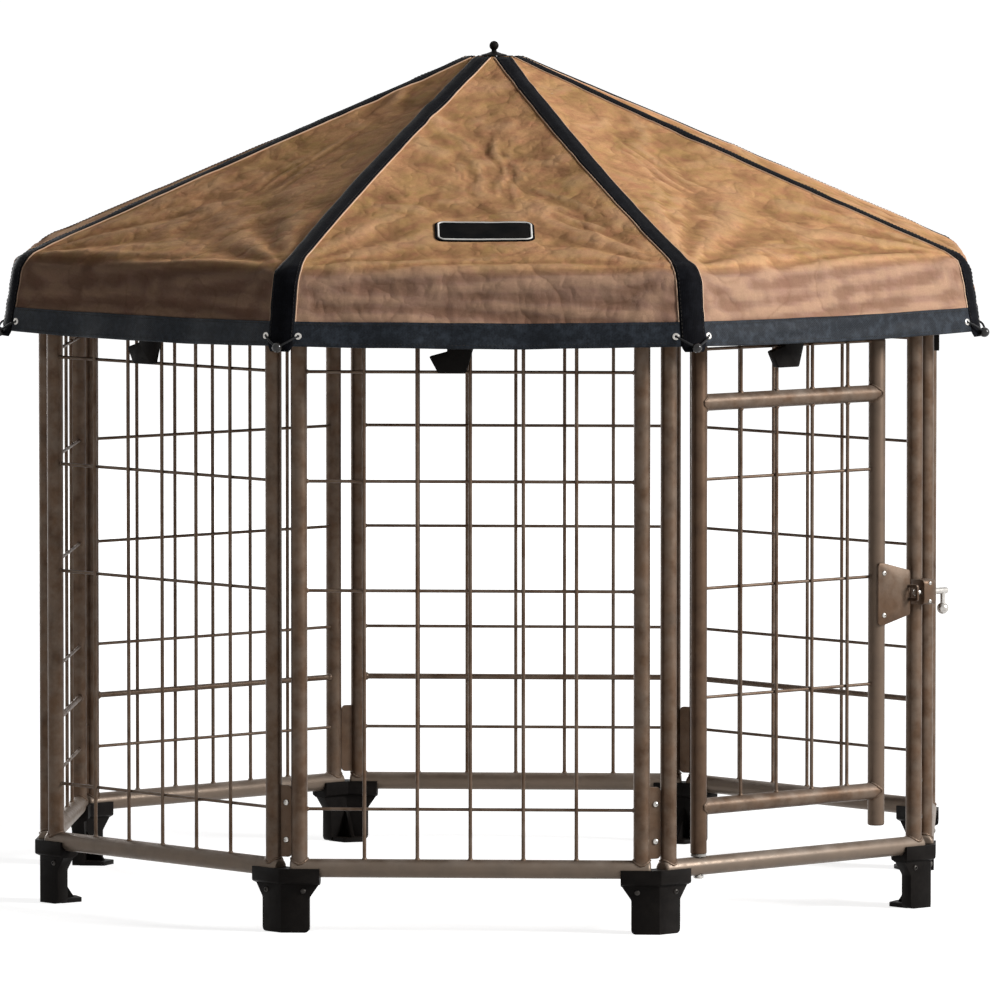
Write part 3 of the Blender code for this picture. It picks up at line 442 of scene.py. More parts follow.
@dataclass(frozen=True)
class Canvas:
    """Coated tan polyester in a plain weave with uneven dye; painted highlight on fold crests, painted shade
    in hollows, creases and on the valance.
    """

    colour: tuple = (0.68, 0.370, 0.180)
    olive: tuple = (0.52, 0.310, 0.125)
    red: tuple = (0.56, 0.265, 0.140)
    # pale paints the highlight on the folds' crests
    pale: tuple = (0.72, 0.46, 0.28)
    # deep paints the shade in the folds' hollows and along creases, and tints the thread flecks
    deep: tuple = (0.17, 0.075, 0.037)
    # The painted shade of the valance, darker and rosier than the slope
    painted_valance_shade: tuple = (0.325, 0.208, 0.172)
    thread_turn: float = 5200.0

    def material(self, effects: Effects) -> Material:
        """Builds the finish.

        Args:
            effects: The shared node groups.

        Returns:
            The material.
        """
        cloth = Surface(Slot.CANVAS.value, {"Specular IOR Level": 0.03})
        tones = {"Tone": rgba(self.colour), "Warm": rgba(self.olive), "Dark": rgba(self.red)}
        tone = cloth.effect(effects.patches, Vector=cloth.place, Scale=13.0, **tones)
        weave = cloth.effect(effects.weave, Vector=cloth.cloth, Warp=self.thread_turn, Weft=self.thread_turn)
        # Painted highlight on the folds' crests and painted shade in their hollows, from the masks that the
        # sheet keeps
        crest = cloth.span(cloth.mask("crest"), 0.12, 1.0, 0.0, 0.30)
        painted_hollow_shade = cloth.span(cloth.mask("painted_hollow_shade"), 0.12, 1.0, 0.0, 0.38)
        # Painted shade: the valance below the eave is painted darker and rosier
        valance_shade = cloth.maths("MULTIPLY", cloth.mask("valance_shade"), 0.75)
        hung = cloth.blend(valance_shade, tone.outputs["Color"], rgba(self.painted_valance_shade))
        lit = cloth.blend(crest, hung, rgba(self.pale))
        folds = cloth.crease(12.0)
        small_folds = cloth.crease(31.0)
        # Painted shade along the deeper creases
        sunk = cloth.maths("MULTIPLY", cloth.span(folds, 0.80, 1.0), 0.20)
        creased = cloth.blend(sunk, lit, rgba(self.deep))
        shaded = cloth.blend(painted_hollow_shade, creased, rgba(self.deep))
        flecks = cloth.maths("MULTIPLY", weave.outputs["Shade"], 0.16)
        cloth.feed("Base Color", cloth.blend(flecks, shaded, rgba(self.deep)))
        cloth.feed("Roughness", cloth.span(weave.outputs["Shade"], 0.0, 1.0, 0.74, 0.90))
        puckers = cloth.noise(cloth.place, 60.0, 4.0, 0.6)
        deep_folds = cloth.maths("MULTIPLY", folds, -9.0)
        fine_folds = cloth.maths("MULTIPLY", small_folds, -3.5)
        creases = cloth.maths("ADD", deep_folds, fine_folds)
        soft = cloth.maths("ADD", creases, cloth.maths("MULTIPLY", puckers, 4.0))
        cloth.bump(cloth.maths("ADD", weave.outputs["Height"], soft), 0.00028, 0.9)
        return cloth.material


@dataclass(frozen=True)
class Webbing:
    """Ribbed black tape, with a slate cast where the light rakes it."""

    name: str = "black_webbing"
    colour: tuple = (0.0035, 0.0035, 0.0045)
    faded: tuple = (0.009, 0.0095, 0.012)
    rib_turn: float = 3600.0
    rough: tuple = (0.50, 0.66)
    specular: float = 0.02

    def material(self, effects: Effects) -> Material:
        """Builds the finish.

        Args:
            effects: The shared node groups.

        Returns:
            The material.
        """
        tape = Surface(self.name, {"Specular IOR Level": self.specular})
        tones = {"Tone": rgba(self.colour), "Warm": rgba(self.colour), "Dark": rgba(self.faded)}
        tone = tape.effect(effects.patches, Vector=tape.place, Scale=24.0, **tones)
        weave = tape.effect(effects.weave, Vector=tape.cloth, Warp=self.rib_turn / 2, Weft=self.rib_turn)
        flecks = tape.maths("MULTIPLY", weave.outputs["Shade"], 0.35)
        tape.feed("Base Color", tape.blend(flecks, tone.outputs["Color"], rgba(self.faded)))
        tape.feed("Roughness", tape.span(weave.outputs["Shade"], 0.0, 1.0, *self.rough))
        tape.bump(weave.outputs["Height"], 0.0005, 0.8)
        return tape.material


@dataclass(frozen=True)
class Plain:
    """A small part's own colour, with a fine grain and worn edges."""

    name: str
    colour: tuple
    worn: tuple
    rough: tuple = (0.4, 0.6)
    metallic: float = 0.0

    def material(self, effects: Effects) -> Material:
        """Builds the finish.

        Args:
            effects: The shared node groups.

        Returns:
            The material.
        """
        part = Surface(self.name, {"Metallic": self.metallic, "Specular IOR Level": 0.1})
        rub = part.effect(effects.edges, Vector=part.place, Amount=0.8).outputs[0]
        drift = part.span(part.noise(part.place, 90.0, 4.0), 0.4, 0.75, 0.0, 0.35)
        mask = part.maths("MAXIMUM", rub, drift)
        part.feed("Base Color", part.blend(mask, rgba(self.colour), rgba(self.worn)))
        part.feed("Roughness", part.span(part.noise(part.place, 60.0), 0.3, 0.7, *self.rough))
        grain = part.effect(effects.grain, Vector=part.place, Fine=1500.0, Coarse=260.0, Share=0.5)
        part.bump(grain.outputs[0], 0.00008, 0.5)
        return part.material


class Finishes:
    """Every finish of the gazebo, made once."""

    def __init__(self) -> None:
        """Makes the materials."""
        effects = Effects()
        self.paint = PowderCoat().material(effects)
        self.moulding = Moulding().material(effects)
        self.zinc = Zinc().material(effects)
        self.canvas = Canvas().material(effects)
        self.webbing = Webbing().material(effects)
        slate, slate_faded = (0.008, 0.010, 0.0135), (0.036, 0.044, 0.056)
        hem = Webbing("slate_hem_tape", slate, slate_faded, 3000.0, (0.34, 0.48), specular=0.10)
        self.hem = hem.material(effects)
        soot, soot_pale = (0.006, 0.006, 0.0065), (0.012, 0.012, 0.012)
        rubber = Moulding("black_rubber", soot, soot_pale, rough=(0.7, 0.85), specular=0.01)
        self.patch = rubber.material(effects)
        self.nylon = Plain(Slot.NYLON.value, (0.30, 0.29, 0.27), (0.42, 0.40, 0.37)).material(effects)
        piping = Plain("pale_piping", (0.80, 0.79, 0.76), (0.66, 0.63, 0.58), (0.55, 0.7))
        self.piping = piping.material(effects)
        cord = Plain("tan_piping", (0.60, 0.40, 0.27), (0.70, 0.50, 0.36), (0.7, 0.85))
        self.cord = cord.material(effects)
        thread = Plain("black_thread", (0.020, 0.019, 0.018), (0.05, 0.045, 0.04), (0.6, 0.8))
        self.thread = thread.material(effects)
        self.elastic = Plain("black_elastic", (0.012, 0.012, 0.013), (0.06, 0.06, 0.06)).material(effects)
        self.ball = Moulding("black_ball", rough=(0.16, 0.28), specular=0.4).material(effects)
        screw = Plain("black_screws", (0.030, 0.027, 0.025), (0.22, 0.20, 0.18), (0.3, 0.5), 0.6)
        self.screw = screw.material(effects)


# Meshes


def shown(name: str, data: ID) -> Object:
    """Puts an object into the scene.

    Args:
        name: The object's name.
        data: Its mesh, or its camera or lamp.

    Returns:
        The object.
    """
    obj = bpy.data.objects.new(name, data)
    bpy.context.scene.collection.objects.link(obj)
    return obj


def made(bm: bmesh.types.BMesh, name: str) -> Mesh:
    """Turns a shape that is built into a mesh.

    Args:
        bm: The shape, which is freed.
        name: The mesh's name.

    Returns:
        The mesh.
    """
    mesh = bpy.data.meshes.new(name)
    bm.to_mesh(mesh)
    bm.free()
    return mesh


def evaluated(obj: Object) -> Mesh:
    """Takes up an object's modifiers.

    Args:
        obj: The object, which goes.

    Returns:
        The plain mesh.
    """
    graph = bpy.context.evaluated_depsgraph_get()
    graph.update()
    mesh = bpy.data.meshes.new_from_object(obj.evaluated_get(graph))
    bpy.data.objects.remove(obj)
    return mesh


def smoothed(mesh: Mesh) -> Mesh:
    """Shades a mesh smooth but for its sharp edges.

    Args:
        mesh: The mesh, which changes.

    Returns:
        The same mesh.
    """
    mesh.shade_smooth()
    mesh.set_sharp_from_angle(angle=SMOOTH_ANGLE)
    return mesh


def moved(mesh: Mesh, matrix: Matrix) -> Mesh:
    """Copies a mesh to another place.

    Args:
        mesh: The mesh, which stays.
        matrix: The move.

    Returns:
        The copy.
    """
    copy = mesh.copy()
    copy.transform(matrix)
    return copy


def joined(meshes: Iterable[Mesh]) -> Mesh:
    """Joins meshes into one.

    Args:
        meshes: The meshes, which stay.

    Returns:
        The new mesh.
    """
    bm = bmesh.new()
    for mesh in meshes:
        bm.from_mesh(mesh)
    return made(bm, "joined")


def bevelled(mesh: Mesh, width: float, segments: int = 2, angle: float = 34.0) -> Mesh:
    """Rounds a mesh's edges.

    Args:
        mesh: The mesh, with one face for each flat.
        width: How far from an edge its rounding starts.
        segments: Faces across the rounding.
        angle: Edges that turn by fewer degrees stay as they are.

    Returns:
        The rounded mesh.
    """
    obj = shown("rounding", mesh)
    modifier = obj.modifiers.new("rounding", "BEVEL")
    modifier.width = width
    modifier.segments = segments
    modifier.limit_method = "ANGLE"
    modifier.angle_limit = radians(angle)
    modifier.harden_normals = True
    mesh.shade_smooth()
    return evaluated(obj)


def node_copy(node: str, width: float) -> Mesh:
    """Copies a node's mesh with its flats joined and its edges rounded.

    Args:
        node: The node's name.
        width: How far from an edge its rounding starts.

    Returns:
        The copy.
    """
    bm = bmesh.new()
    bm.from_mesh(frame["nodes"][node].data)
    bmesh.ops.remove_doubles(bm, verts=bm.verts, dist=WELD_GAP)
    bmesh.ops.dissolve_limit(bm, angle_limit=FLAT_ANGLE, verts=bm.verts, edges=bm.edges)
    bmesh.ops.triangulate(bm, faces=[face for face in bm.faces if len(face.verts) > 4])
    return bevelled(made(bm, node), width)


def piece(
    name: str,
    mesh: Mesh,
    look: Material | None,
    slot: Slot,
    nodes: Sequence[str] = (),
    body: Body = Body.FRAME,
) -> Object:
    """Makes a finished piece of the gazebo.

    Args:
        name: The piece's name.
        mesh: Its mesh, in its place.
        look: Its material, or None where the mesh has its own.
        slot: The record's slot; not used.
        nodes: The nodes that it stands for.
        body: The body that it rides on.

    Returns:
        The object.
    """
    if look is not None:
        mesh.materials.clear()
        mesh.materials.append(look)
    obj = shown(name, mesh)
    if nodes:
        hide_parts(*nodes)
    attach(obj, body.value)
    LOG.info("%s: %d faces on %s", name, len(mesh.polygons), body.value)
    return obj


def turned(profile: Sequence[tuple[float, float]], steps: int = 32) -> Mesh:
    """Turns a closed shape about Z.

    Args:
        profile: Points (radius, height), from the top to the bottom.
        steps: Facets round it.

    Returns:
        The mesh.
    """
    bm = bmesh.new()
    verts = [bm.verts.new((radius, 0, height)) for radius, height in profile]
    edges = [bm.edges.new(pair) for pair in zip(verts, verts[1:])]
    ring = {"cent": (0, 0, 0), "axis": (0, 0, 1), "angle": tau, "steps": steps, "use_merge": True}
    bmesh.ops.spin(bm, geom=verts + edges, **ring)
    bmesh.ops.remove_doubles(bm, verts=bm.verts, dist=0.000001)
    bmesh.ops.recalc_face_normals(bm, faces=bm.faces)
    return smoothed(made(bm, "turned"))


def side_place(index: float, reach: float = 0.0) -> Matrix:
    """Returns the place round the gazebo of what is drawn facing -Y, a number of sides further on."""
    return Matrix.Rotation(index * TURN, 4, "Z") @ Matrix.Translation((0, -reach, 0))


# Geometry node tools


def set_inputs(modifier: Modifier, values: Mapping[str, Any]) -> None:
    """Sets a geometry modifier's inputs, each by its socket's identifier.

    Args:
        modifier: The modifier.
        values: The inputs' values, by the names of their sockets.
    """
    for item in modifier.node_group.interface.items_tree:
        if item.item_type == "SOCKET" and item.in_out == "INPUT" and item.name in values:
            modifier[item.identifier] = values[item.name]


def grown(mesh: Mesh, tree: NodeTree, values: Mapping[str, Any]) -> Mesh:
    """Runs a geometry tree on a mesh.

    Args:
        mesh: What the tree starts from.
        tree: The geometry tree.
        values: Its inputs, by name.

    Returns:
        The result, as a plain mesh.
    """
    obj = shown("seed", mesh)
    modifier = obj.modifiers.new("grow", "NODES")
    modifier.node_group = tree
    set_inputs(modifier, values)
    return evaluated(obj)


def tube_tree() -> NodeTree:
    """Builds the tree that draws round tubes, wires and weld beads along a net of lines.

    A point's bore is the radius there. Fine runs get fewer facets. A loose point is a bead.

    Returns:
        The geometry tree.
    """
    inputs = {
        "Net": ("NodeSocketGeometry", None),
        "Tube Facets": ("NodeSocketInt", 28),
        "Wire Facets": ("NodeSocketInt", 12),
        "Finish": ("NodeSocketMaterial", None),
    }
    graph, given, out = grouped("welded_tubes", "GeometryNodeTree", inputs, {"Tubes": "NodeSocketGeometry"})

    def stored(name: str) -> NodeSocket:
        """Returns an attribute of the net."""
        return graph.add("GeometryNodeInputNamedAttribute", {"Name": name}, data_type="FLOAT").outputs[0]

    bore, kind = stored("bore"), stored("kind")
    parts = []
    for level, label in ((0.0, "Tube Facets"), (1.0, "Wire Facets")):
        match = graph.add("FunctionNodeCompare", {0: kind, 1: level, 12: 0.1}, operation="EQUAL").outputs[0]
        chosen = graph.add("GeometryNodeSeparateGeometry", {0: given.outputs["Net"], 1: match})
        line = graph.add("GeometryNodeMeshToCurve", {0: chosen.outputs[0]}).outputs[0]
        circle = {"Resolution": given.outputs[label], "Radius": 1.0}
        ring = graph.add("GeometryNodeCurvePrimitiveCircle", circle)
        skin = {"Curve": line, "Profile Curve": ring.outputs[0], "Scale": bore, "Fill Caps": True}
        parts.append(graph.add("GeometryNodeCurveToMesh", skin).outputs[0])
    match = graph.add("FunctionNodeCompare", {0: kind, 1: 2.0, 12: 0.1}, operation="EQUAL").outputs[0]
    chosen = graph.add("GeometryNodeSeparateGeometry", {0: given.outputs["Net"], 1: match})
    drop = graph.add("GeometryNodeMeshIcoSphere", {"Radius": 1.0, "Subdivisions": 2}).outputs[0]
    scatter = {"Points": chosen.outputs[0], "Instance": drop, "Scale": bore}
    parts.append(graph.add("GeometryNodeInstanceOnPoints", scatter).outputs[0])
    merge = graph.add("GeometryNodeJoinGeometry")
    for part in parts:
        graph.tree.links.new(part, merge.inputs[0])
    real = graph.add("GeometryNodeRealizeInstances", {0: merge.outputs[0]}).outputs[0]
    smooth = graph.add("GeometryNodeSetShadeSmooth", {"Geometry": real, "Shade Smooth": True}).outputs[0]
    painted = graph.add("GeometryNodeSetMaterial", {"Geometry": smooth, "Material": given.outputs["Finish"]})
    graph.tree.links.new(painted.outputs[0], out.inputs[0])
    return graph.tree


def scatter_tree() -> NodeTree:
    """Builds the tree that sets a copy of a small part at each point, by its normal and its heading.

    Returns:
        The geometry tree.
    """
    inputs = {
        "Places": ("NodeSocketGeometry", None),
        "Part": ("NodeSocketObject", None),
        "Spread": ("NodeSocketFloat", 0.0),
        "Seed": ("NodeSocketInt", 0),
        "Finish": ("NodeSocketMaterial", None),
    }
    graph, given, out = grouped("set_in_rows", "GeometryNodeTree", inputs, {"Parts": "NodeSocketGeometry"})

    def stored(name: str) -> NodeSocket:
        """Returns a direction that is kept at each place."""
        kept = graph.add("GeometryNodeInputNamedAttribute", {"Name": name}, data_type="FLOAT_VECTOR")
        return kept.outputs[0]

    axes = {"Primary Axis": stored("up"), "Secondary Axis": stored("heading")}
    turn = graph.add("FunctionNodeAxesToRotation", axes, primary_axis="Z", secondary_axis="X").outputs[0]
    part = graph.add("GeometryNodeObjectInfo", {"Object": given.outputs["Part"]}).outputs["Geometry"]
    low = graph.maths("SUBTRACT", 1.0, given.outputs["Spread"])
    high = graph.maths("ADD", 1.0, given.outputs["Spread"])
    size = graph.add("FunctionNodeRandomValue", {2: low, 3: high, "Seed": given.outputs["Seed"]})
    places = {"Points": given.outputs["Places"], "Instance": part, "Rotation": turn, "Scale": size.outputs[1]}
    copies = graph.add("GeometryNodeInstanceOnPoints", places).outputs[0]
    real = graph.add("GeometryNodeRealizeInstances", {0: copies}).outputs[0]
    painted = graph.add("GeometryNodeSetMaterial", {"Geometry": real, "Material": given.outputs["Finish"]})
    graph.tree.links.new(painted.outputs[0], out.inputs[0])
    return graph.tree


class Run(Enum):
    """What a run of the tube net is."""

    TUBE = 0.0
    WIRE = 1.0
    BEAD = 2.0


@dataclass
class TubeNet:
    """Lines and points that become tubes, wires and weld beads."""

    points: list = field(default_factory=list)
    edges: list = field(default_factory=list)
    bores: list = field(default_factory=list)
    kinds: list = field(default_factory=list)
    shines: list = field(default_factory=list)

    def line(self, points: Sequence, bores: Sequence, kind: Run = Run.TUBE, closed: bool = False,
             shines: Sequence | float = 0.0) -> None:
        """Adds a run.

        Args:
            points: Along its centre.
            bores: Its radius at each of them.
            kind: Whether it is a tube or a wire.
            closed: Whether its end meets its start.
            shines: How much paler its paint is, at each point or all along: a painted highlight on tube ends,
                and a paler colour on welds.
        """
        first = len(self.points)
        count = len(points)
        self.points += [tuple(point) for point in points]
        self.edges += [(first + k, first + k + 1) for k in range(count - 1)]
        if closed:
            self.edges.append((first + count - 1, first))
        self.bores += list(bores)
        self.kinds += [kind.value] * count
        self.shines += list(shines) if not isinstance(shines, float) else [shines] * count

    def rod(self, start: Sequence, end: Sequence, radius: float, kind: Run = Run.TUBE, rounding: float = 0.0,
            shine: float = 0.0) -> None:
        """Adds a straight run, with rounded ends where a rounding is given.

        Args:
            start: One end of its centre line.
            end: The other end.
            radius: Its radius.
            kind: Whether it is a tube or a wire.
            rounding: The radius of its ends' edges.
            shine: How much painted highlight its ends have.
        """
        start, end = Vector(start), Vector(end)
        along = (end - start).normalized()
        angles = [pi / 2 * step / 4 for step in range(5)] if rounding else [pi / 2]
        bores = [radius - rounding + rounding * sin(a) for a in angles]
        inset = [rounding * (1 - cos(a)) for a in angles]
        points = [start + along * depth for depth in inset]
        backs = [end - along * depth for depth in reversed(inset)]
        tips = [shine] * len(points)
        self.line(points + backs, bores + bores[::-1], kind, shines=tips + tips)

    def saddle(self, foot: Sequence, rail: float, post: float, up: float, bead: float, across: Vector) -> None:
        """Adds the weld where a post stands on a level rail.

        Args:
            foot: Where their centre lines meet.
            rail: The rail's radius.
            post: The post's radius.
            up: 1 where the post rises from the rail, -1 where it hangs.
            bead: The weld's radius.
            across: The level direction square to the rail.
        """
        along = across.cross(Vector((0, 0, 1)))
        points = []
        for step in range(WELD_STEPS):
            angle = tau * step / WELD_STEPS
            side = post * sin(angle)
            rise = sqrt(max(rail**2 - side**2, 0.0))
            point = Vector(foot) + along * (post * cos(angle)) + across * side
            points.append(point + Vector((0, 0, up * rise)))
        self.weld(points, bead)

    def weld(self, points: Sequence, bead: float) -> None:
        """Adds a closed run of uneven weld.

        Args:
            points: Along its centre.
            bead: Its middling radius.
        """
        bores = [bead * (1 + 0.22 * sin(step * 2.4)) for step in range(len(points))]
        self.line(points, bores, Run.WIRE, closed=True, shines=0.12)

    def drop(self, point: Sequence, size: float, shine: float = 0.1) -> None:
        """Adds a bead of weld.

        Args:
            point: Its middle.
            size: Its radius.
            shine: How much paler its paint is.
        """
        self.points.append(tuple(point))
        self.bores.append(size)
        self.kinds.append(Run.BEAD.value)
        self.shines.append(shine)

    def mesh(self, tree: NodeTree, look: Material, facets: int = 28, fine: int = 12) -> Mesh:
        """Draws the net as tubes.

        Args:
            tree: The tube tree.
            look: The material.
            facets: Round a tube.
            fine: Round a wire.

        Returns:
            The mesh.
        """
        seed = bpy.data.meshes.new("net")
        seed.from_pydata(self.points, self.edges, [])
        for name, values in (("bore", self.bores), ("kind", self.kinds), ("shine", self.shines)):
            seed.attributes.new(name, "FLOAT", "POINT").data.foreach_set("value", values)
        return grown(seed, tree, {"Tube Facets": facets, "Wire Facets": fine, "Finish": look})


@dataclass
class Rows:
    """Places for a small part that repeats, each with its normal and its heading."""

    points: list = field(default_factory=list)
    ups: list = field(default_factory=list)
    headings: list = field(default_factory=list)

    def add(self, point: Sequence, up: Sequence, heading: Sequence) -> None:
        """Adds a place.

        Args:
            point: Where the part stands.
            up: Its normal.
            heading: Where its length points.
        """
        self.points.append(tuple(point))
        self.ups.append(tuple(up))
        self.headings.append(tuple(heading))

    def mesh(
        self, tree: NodeTree, part: Mesh, look: Material, spread: float = 0.0, seed: int = 1
    ) -> Mesh:
        """Sets a copy of the part at each place.

        Args:
            tree: The scatter tree.
            part: The small part, standing on Z with its length on X.
            look: Its material.
            spread: The share by which sizes differ.
            seed: Of those differences.

        Returns:
            The mesh.
        """
        places = bpy.data.meshes.new("places")
        places.from_pydata(self.points, [], [])
        for name, values in (("up", self.ups), ("heading", self.headings)):
            data = places.attributes.new(name, "FLOAT_VECTOR", "POINT").data
            data.foreach_set("vector", np.array(values, dtype=float).ravel())
        master = shown("master", part)
        mesh = grown(places, tree, {"Part": master, "Spread": spread, "Seed": seed, "Finish": look})
        bpy.data.objects.remove(master)
        return mesh


def screw_head(radius: float = 0.0042, tall: float = 0.0026) -> Mesh:
    """Draws a pan head with a hexagonal socket.

    Args:
        radius: Of the head.
        tall: Its height above the face that it is screwed to.

    Returns:
        The mesh, standing on Z.
    """
    socket, floor, sunk = radius * 0.42, tall * 0.35, -0.0006
    dome = [(radius * cos(a), tall * (0.25 + 0.75 * sin(a))) for a in (1.15, 0.8, 0.45, 0.0)]
    profile = [(0, floor), (socket, floor), (socket, tall), *dome, (radius, sunk), (0, sunk)]
    mesh = turned(profile, 24)
    for vert in mesh.vertices:
        x, y, _ = vert.co
        if abs(hypot(x, y) - socket) < 1e-5:
            angle = atan2(y, x) % (pi / 3) - pi / 6
            vert.co.x, vert.co.y = (value / cos(angle) * cos(pi / 6) * 1.1 for value in (x, y))
    return mesh


def stitch_part(length: float, radius: float) -> Mesh:
    """Draws one stitch: a short thread that dips at both ends.

    Args:
        length: From one end to the other.
        radius: Of the thread.

    Returns:
        The mesh, its length on X.
    """
    bm = bmesh.new()
    sides, rings = 5, []
    for share, size, dip in ((-0.5, 0.35, -0.7), (-0.32, 0.9, 0.2), (0.32, 0.9, 0.2), (0.5, 0.35, -0.7)):
        ring = []
        for step in range(sides):
            angle = tau * step / sides
            side, rise = radius * size * cos(angle), radius * (size * sin(angle) + dip)
            ring.append(bm.verts.new((length * share, side, rise)))
        rings.append(ring)
    for one, two in zip(rings, rings[1:]):
        for step in range(sides):
            after = (step + 1) % sides
            bm.faces.new((one[step], one[after], two[after], two[step]))
    bm.faces.new(rings[0])
    bm.faces.new(rings[-1])
    bmesh.ops.recalc_face_normals(bm, faces=bm.faces)
    mesh = made(bm, "stitch")
    mesh.shade_smooth()
    return mesh


@dataclass
class Kit:
    """What every sub-assembly draws on."""

    looks: Finishes
    tubes: NodeTree
    scatter: NodeTree


# Panels


@dataclass
class Panels:
    """The eight welded panels: rails, posts, wires, joining tabs and their welds."""

    kit: Kit
    rail: float = 0.0125
    post: float = 0.011
    upright: float = 0.0025
    cross: float = 0.0022
    bar: float = 0.004
    overhang: float = 0.0125
    end_round: float = 0.004
    pitch: float = 0.0706
    columns: int = 5
    rows: int = 5
    shift: float = 0.00185
    lowest: float = 0.079
    highest: float = 0.074
    bead: float = 0.0017
    tab_tall: float = 0.096
    tab_thick: float = 0.003
    tab_rise: float = 0.0015
    tab_start: float = 0.004
    tab_gap: float = 0.0003
    tab_round: float = 0.006
    corner: float = 0.0205
    wide_sides: tuple = ("left", "front_left")

    def __post_init__(self) -> None:
        """Takes the panel's place from the frame."""
        low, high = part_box("door_frame")
        self.reach = -low.y - self.rail
        self.post_x = -low.x - self.overhang
        self.rail_low = low.z + self.rail
        self.rail_high = high.z - self.rail
        step = (self.rail_high - self.highest - self.rail_low - self.lowest) / (self.rows - 1)
        self.heights = [self.rail_low + self.lowest + step * k for k in range(self.rows)]

    def tube_frame(self, net: TubeNet) -> None:
        """Adds the rails, the posts and their welds.

        Args:
            net: The tube net.
        """
        end = self.post_x + self.overhang
        # The rails' rounded ends carry a painted highlight
        for height in (self.rail_low, self.rail_high):
            net.rod((-end, 0, height), (end, 0, height), self.rail, rounding=self.end_round, shine=0.45)
        for side in (-1, 1):
            x = side * self.post_x
            net.rod((x, 0, self.rail_low), (x, 0, self.rail_high), self.post)
            for height, up in ((self.rail_low, 1), (self.rail_high, -1)):
                net.saddle((x, 0, height), self.rail, self.post, up, self.bead, Vector((0, 1, 0)))

    def wires(self, net: TubeNet, heights: Sequence[float], bar: bool) -> None:
        """Adds the wires and a bead at each crossing.

        Args:
            net: The tube net.
            heights: Of the cross wires.
            bar: Whether the thick low bar is there.
        """
        columns = [self.pitch * (k - self.columns // 2) for k in range(self.columns)]
        for x in columns:
            net.rod((x, -self.shift, self.rail_low), (x, -self.shift, self.rail_high), self.upright, Run.WIRE)
            for height, up in ((self.rail_low, 1), (self.rail_high, -1)):
                net.drop((x, -self.shift, height + up * self.rail * SUNK), self.upright * END_BEAD)
        rows = [(height, self.cross) for height in heights]
        if bar:
            rows.append(((self.heights[0] + self.heights[1]) / 2, self.bar))
        for height, radius in rows:
            ends = [(side * self.post_x, self.shift, height) for side in (-1, 1)]
            net.rod(*ends, radius, Run.WIRE)
            for side in (-1, 1):
                net.drop((side * (self.post_x - self.post * 0.96), self.shift, height), radius * END_BEAD)
            for x in columns:
                net.drop((x, 0, height), radius * CROSS_BEAD)

    def tab(self) -> Mesh:
        """Draws the plate that reaches the next panel's post.

        Returns:
            The mesh, on the right-hand post of a panel that faces -Y.
        """
        spacing = 2 * self.corner * cos(HALF_TURN)
        near, reach = self.tab_start, spacing - self.post - self.tab_gap
        low = self.rail_low + self.rail + self.tab_rise
        top = low + self.tab_tall
        outline = [(near, low), (reach, low), (reach, top), (near, top)]
        bm = bmesh.new()
        face = bm.faces.new([bm.verts.new((x, -self.tab_thick / 2, z)) for x, z in outline])
        pulled = bmesh.ops.extrude_face_region(bm, geom=[face])["geom"]
        verts = [item for item in pulled if isinstance(item, bmesh.types.BMVert)]
        bmesh.ops.translate(bm, verts=verts, vec=(0, self.tab_thick, 0))
        bmesh.ops.recalc_face_normals(bm, faces=bm.faces)
        level = [edge for edge in bm.edges if abs(edge.verts[0].co.y - edge.verts[1].co.y) > 0.001]
        far = [edge for edge in level if edge.verts[0].co.x > reach / 2]
        bmesh.ops.bevel(bm, geom=far, offset=self.tab_round, segments=5, affect="EDGES", profile=0.5)
        mesh = bevelled(made(bm, "tab"), 0.0005)
        mesh.transform(Matrix.Translation((self.post_x, 0, 0)) @ Matrix.Rotation(HALF_TURN, 4, "Z"))
        mesh.materials.clear()
        mesh.materials.append(self.kit.looks.paint)
        return mesh

    def build(self) -> None:
        """Makes the eight panels and the tabs' screws."""
        paint = self.kit.looks.paint
        wide, close, bare = TubeNet(), TubeNet(), TubeNet()
        for net in (wide, close, bare):
            self.tube_frame(net)
        self.wires(wide, self.heights[:1] + self.heights[2:], bar=False)
        self.wires(close, self.heights, bar=True)
        tab = self.tab()
        meshes = [joined((net.mesh(self.kit.tubes, paint), tab)) for net in (wide, close, bare)]
        for index, side in enumerate(SIDES):
            kind = 2 if side == "front" else 0 if side in self.wide_sides else 1
            name = "door_frame" if side == "front" else f"panel_{side}"
            mesh = moved(meshes[kind], side_place(index, self.reach))
            piece(f"welded_{name}", mesh, paint, Slot.POWDER_COAT, (name,))
        self.screws()

    def screws(self) -> None:
        """Makes two screws for each joining tab."""
        rows = Rows()
        middle = self.corner * cos(HALF_TURN)
        low = self.rail_low + self.rail + self.tab_rise
        for index in range(COUNT):
            place = side_place(index, self.reach)
            swing = Matrix.Translation((self.post_x, 0, 0)) @ Matrix.Rotation(HALF_TURN, 4, "Z")
            for share in (0.24, 0.76):
                point = place @ swing @ Vector((middle, -self.tab_thick / 2, low + self.tab_tall * share))
                up = (place @ swing).to_3x3() @ Vector((0, -1, 0))
                rows.add(point, up, (0, 0, 1))
        mesh = rows.mesh(self.kit.scatter, screw_head(), self.kit.looks.zinc)
        piece("tab_screws", mesh, None, Slot.ZINC)


# Door


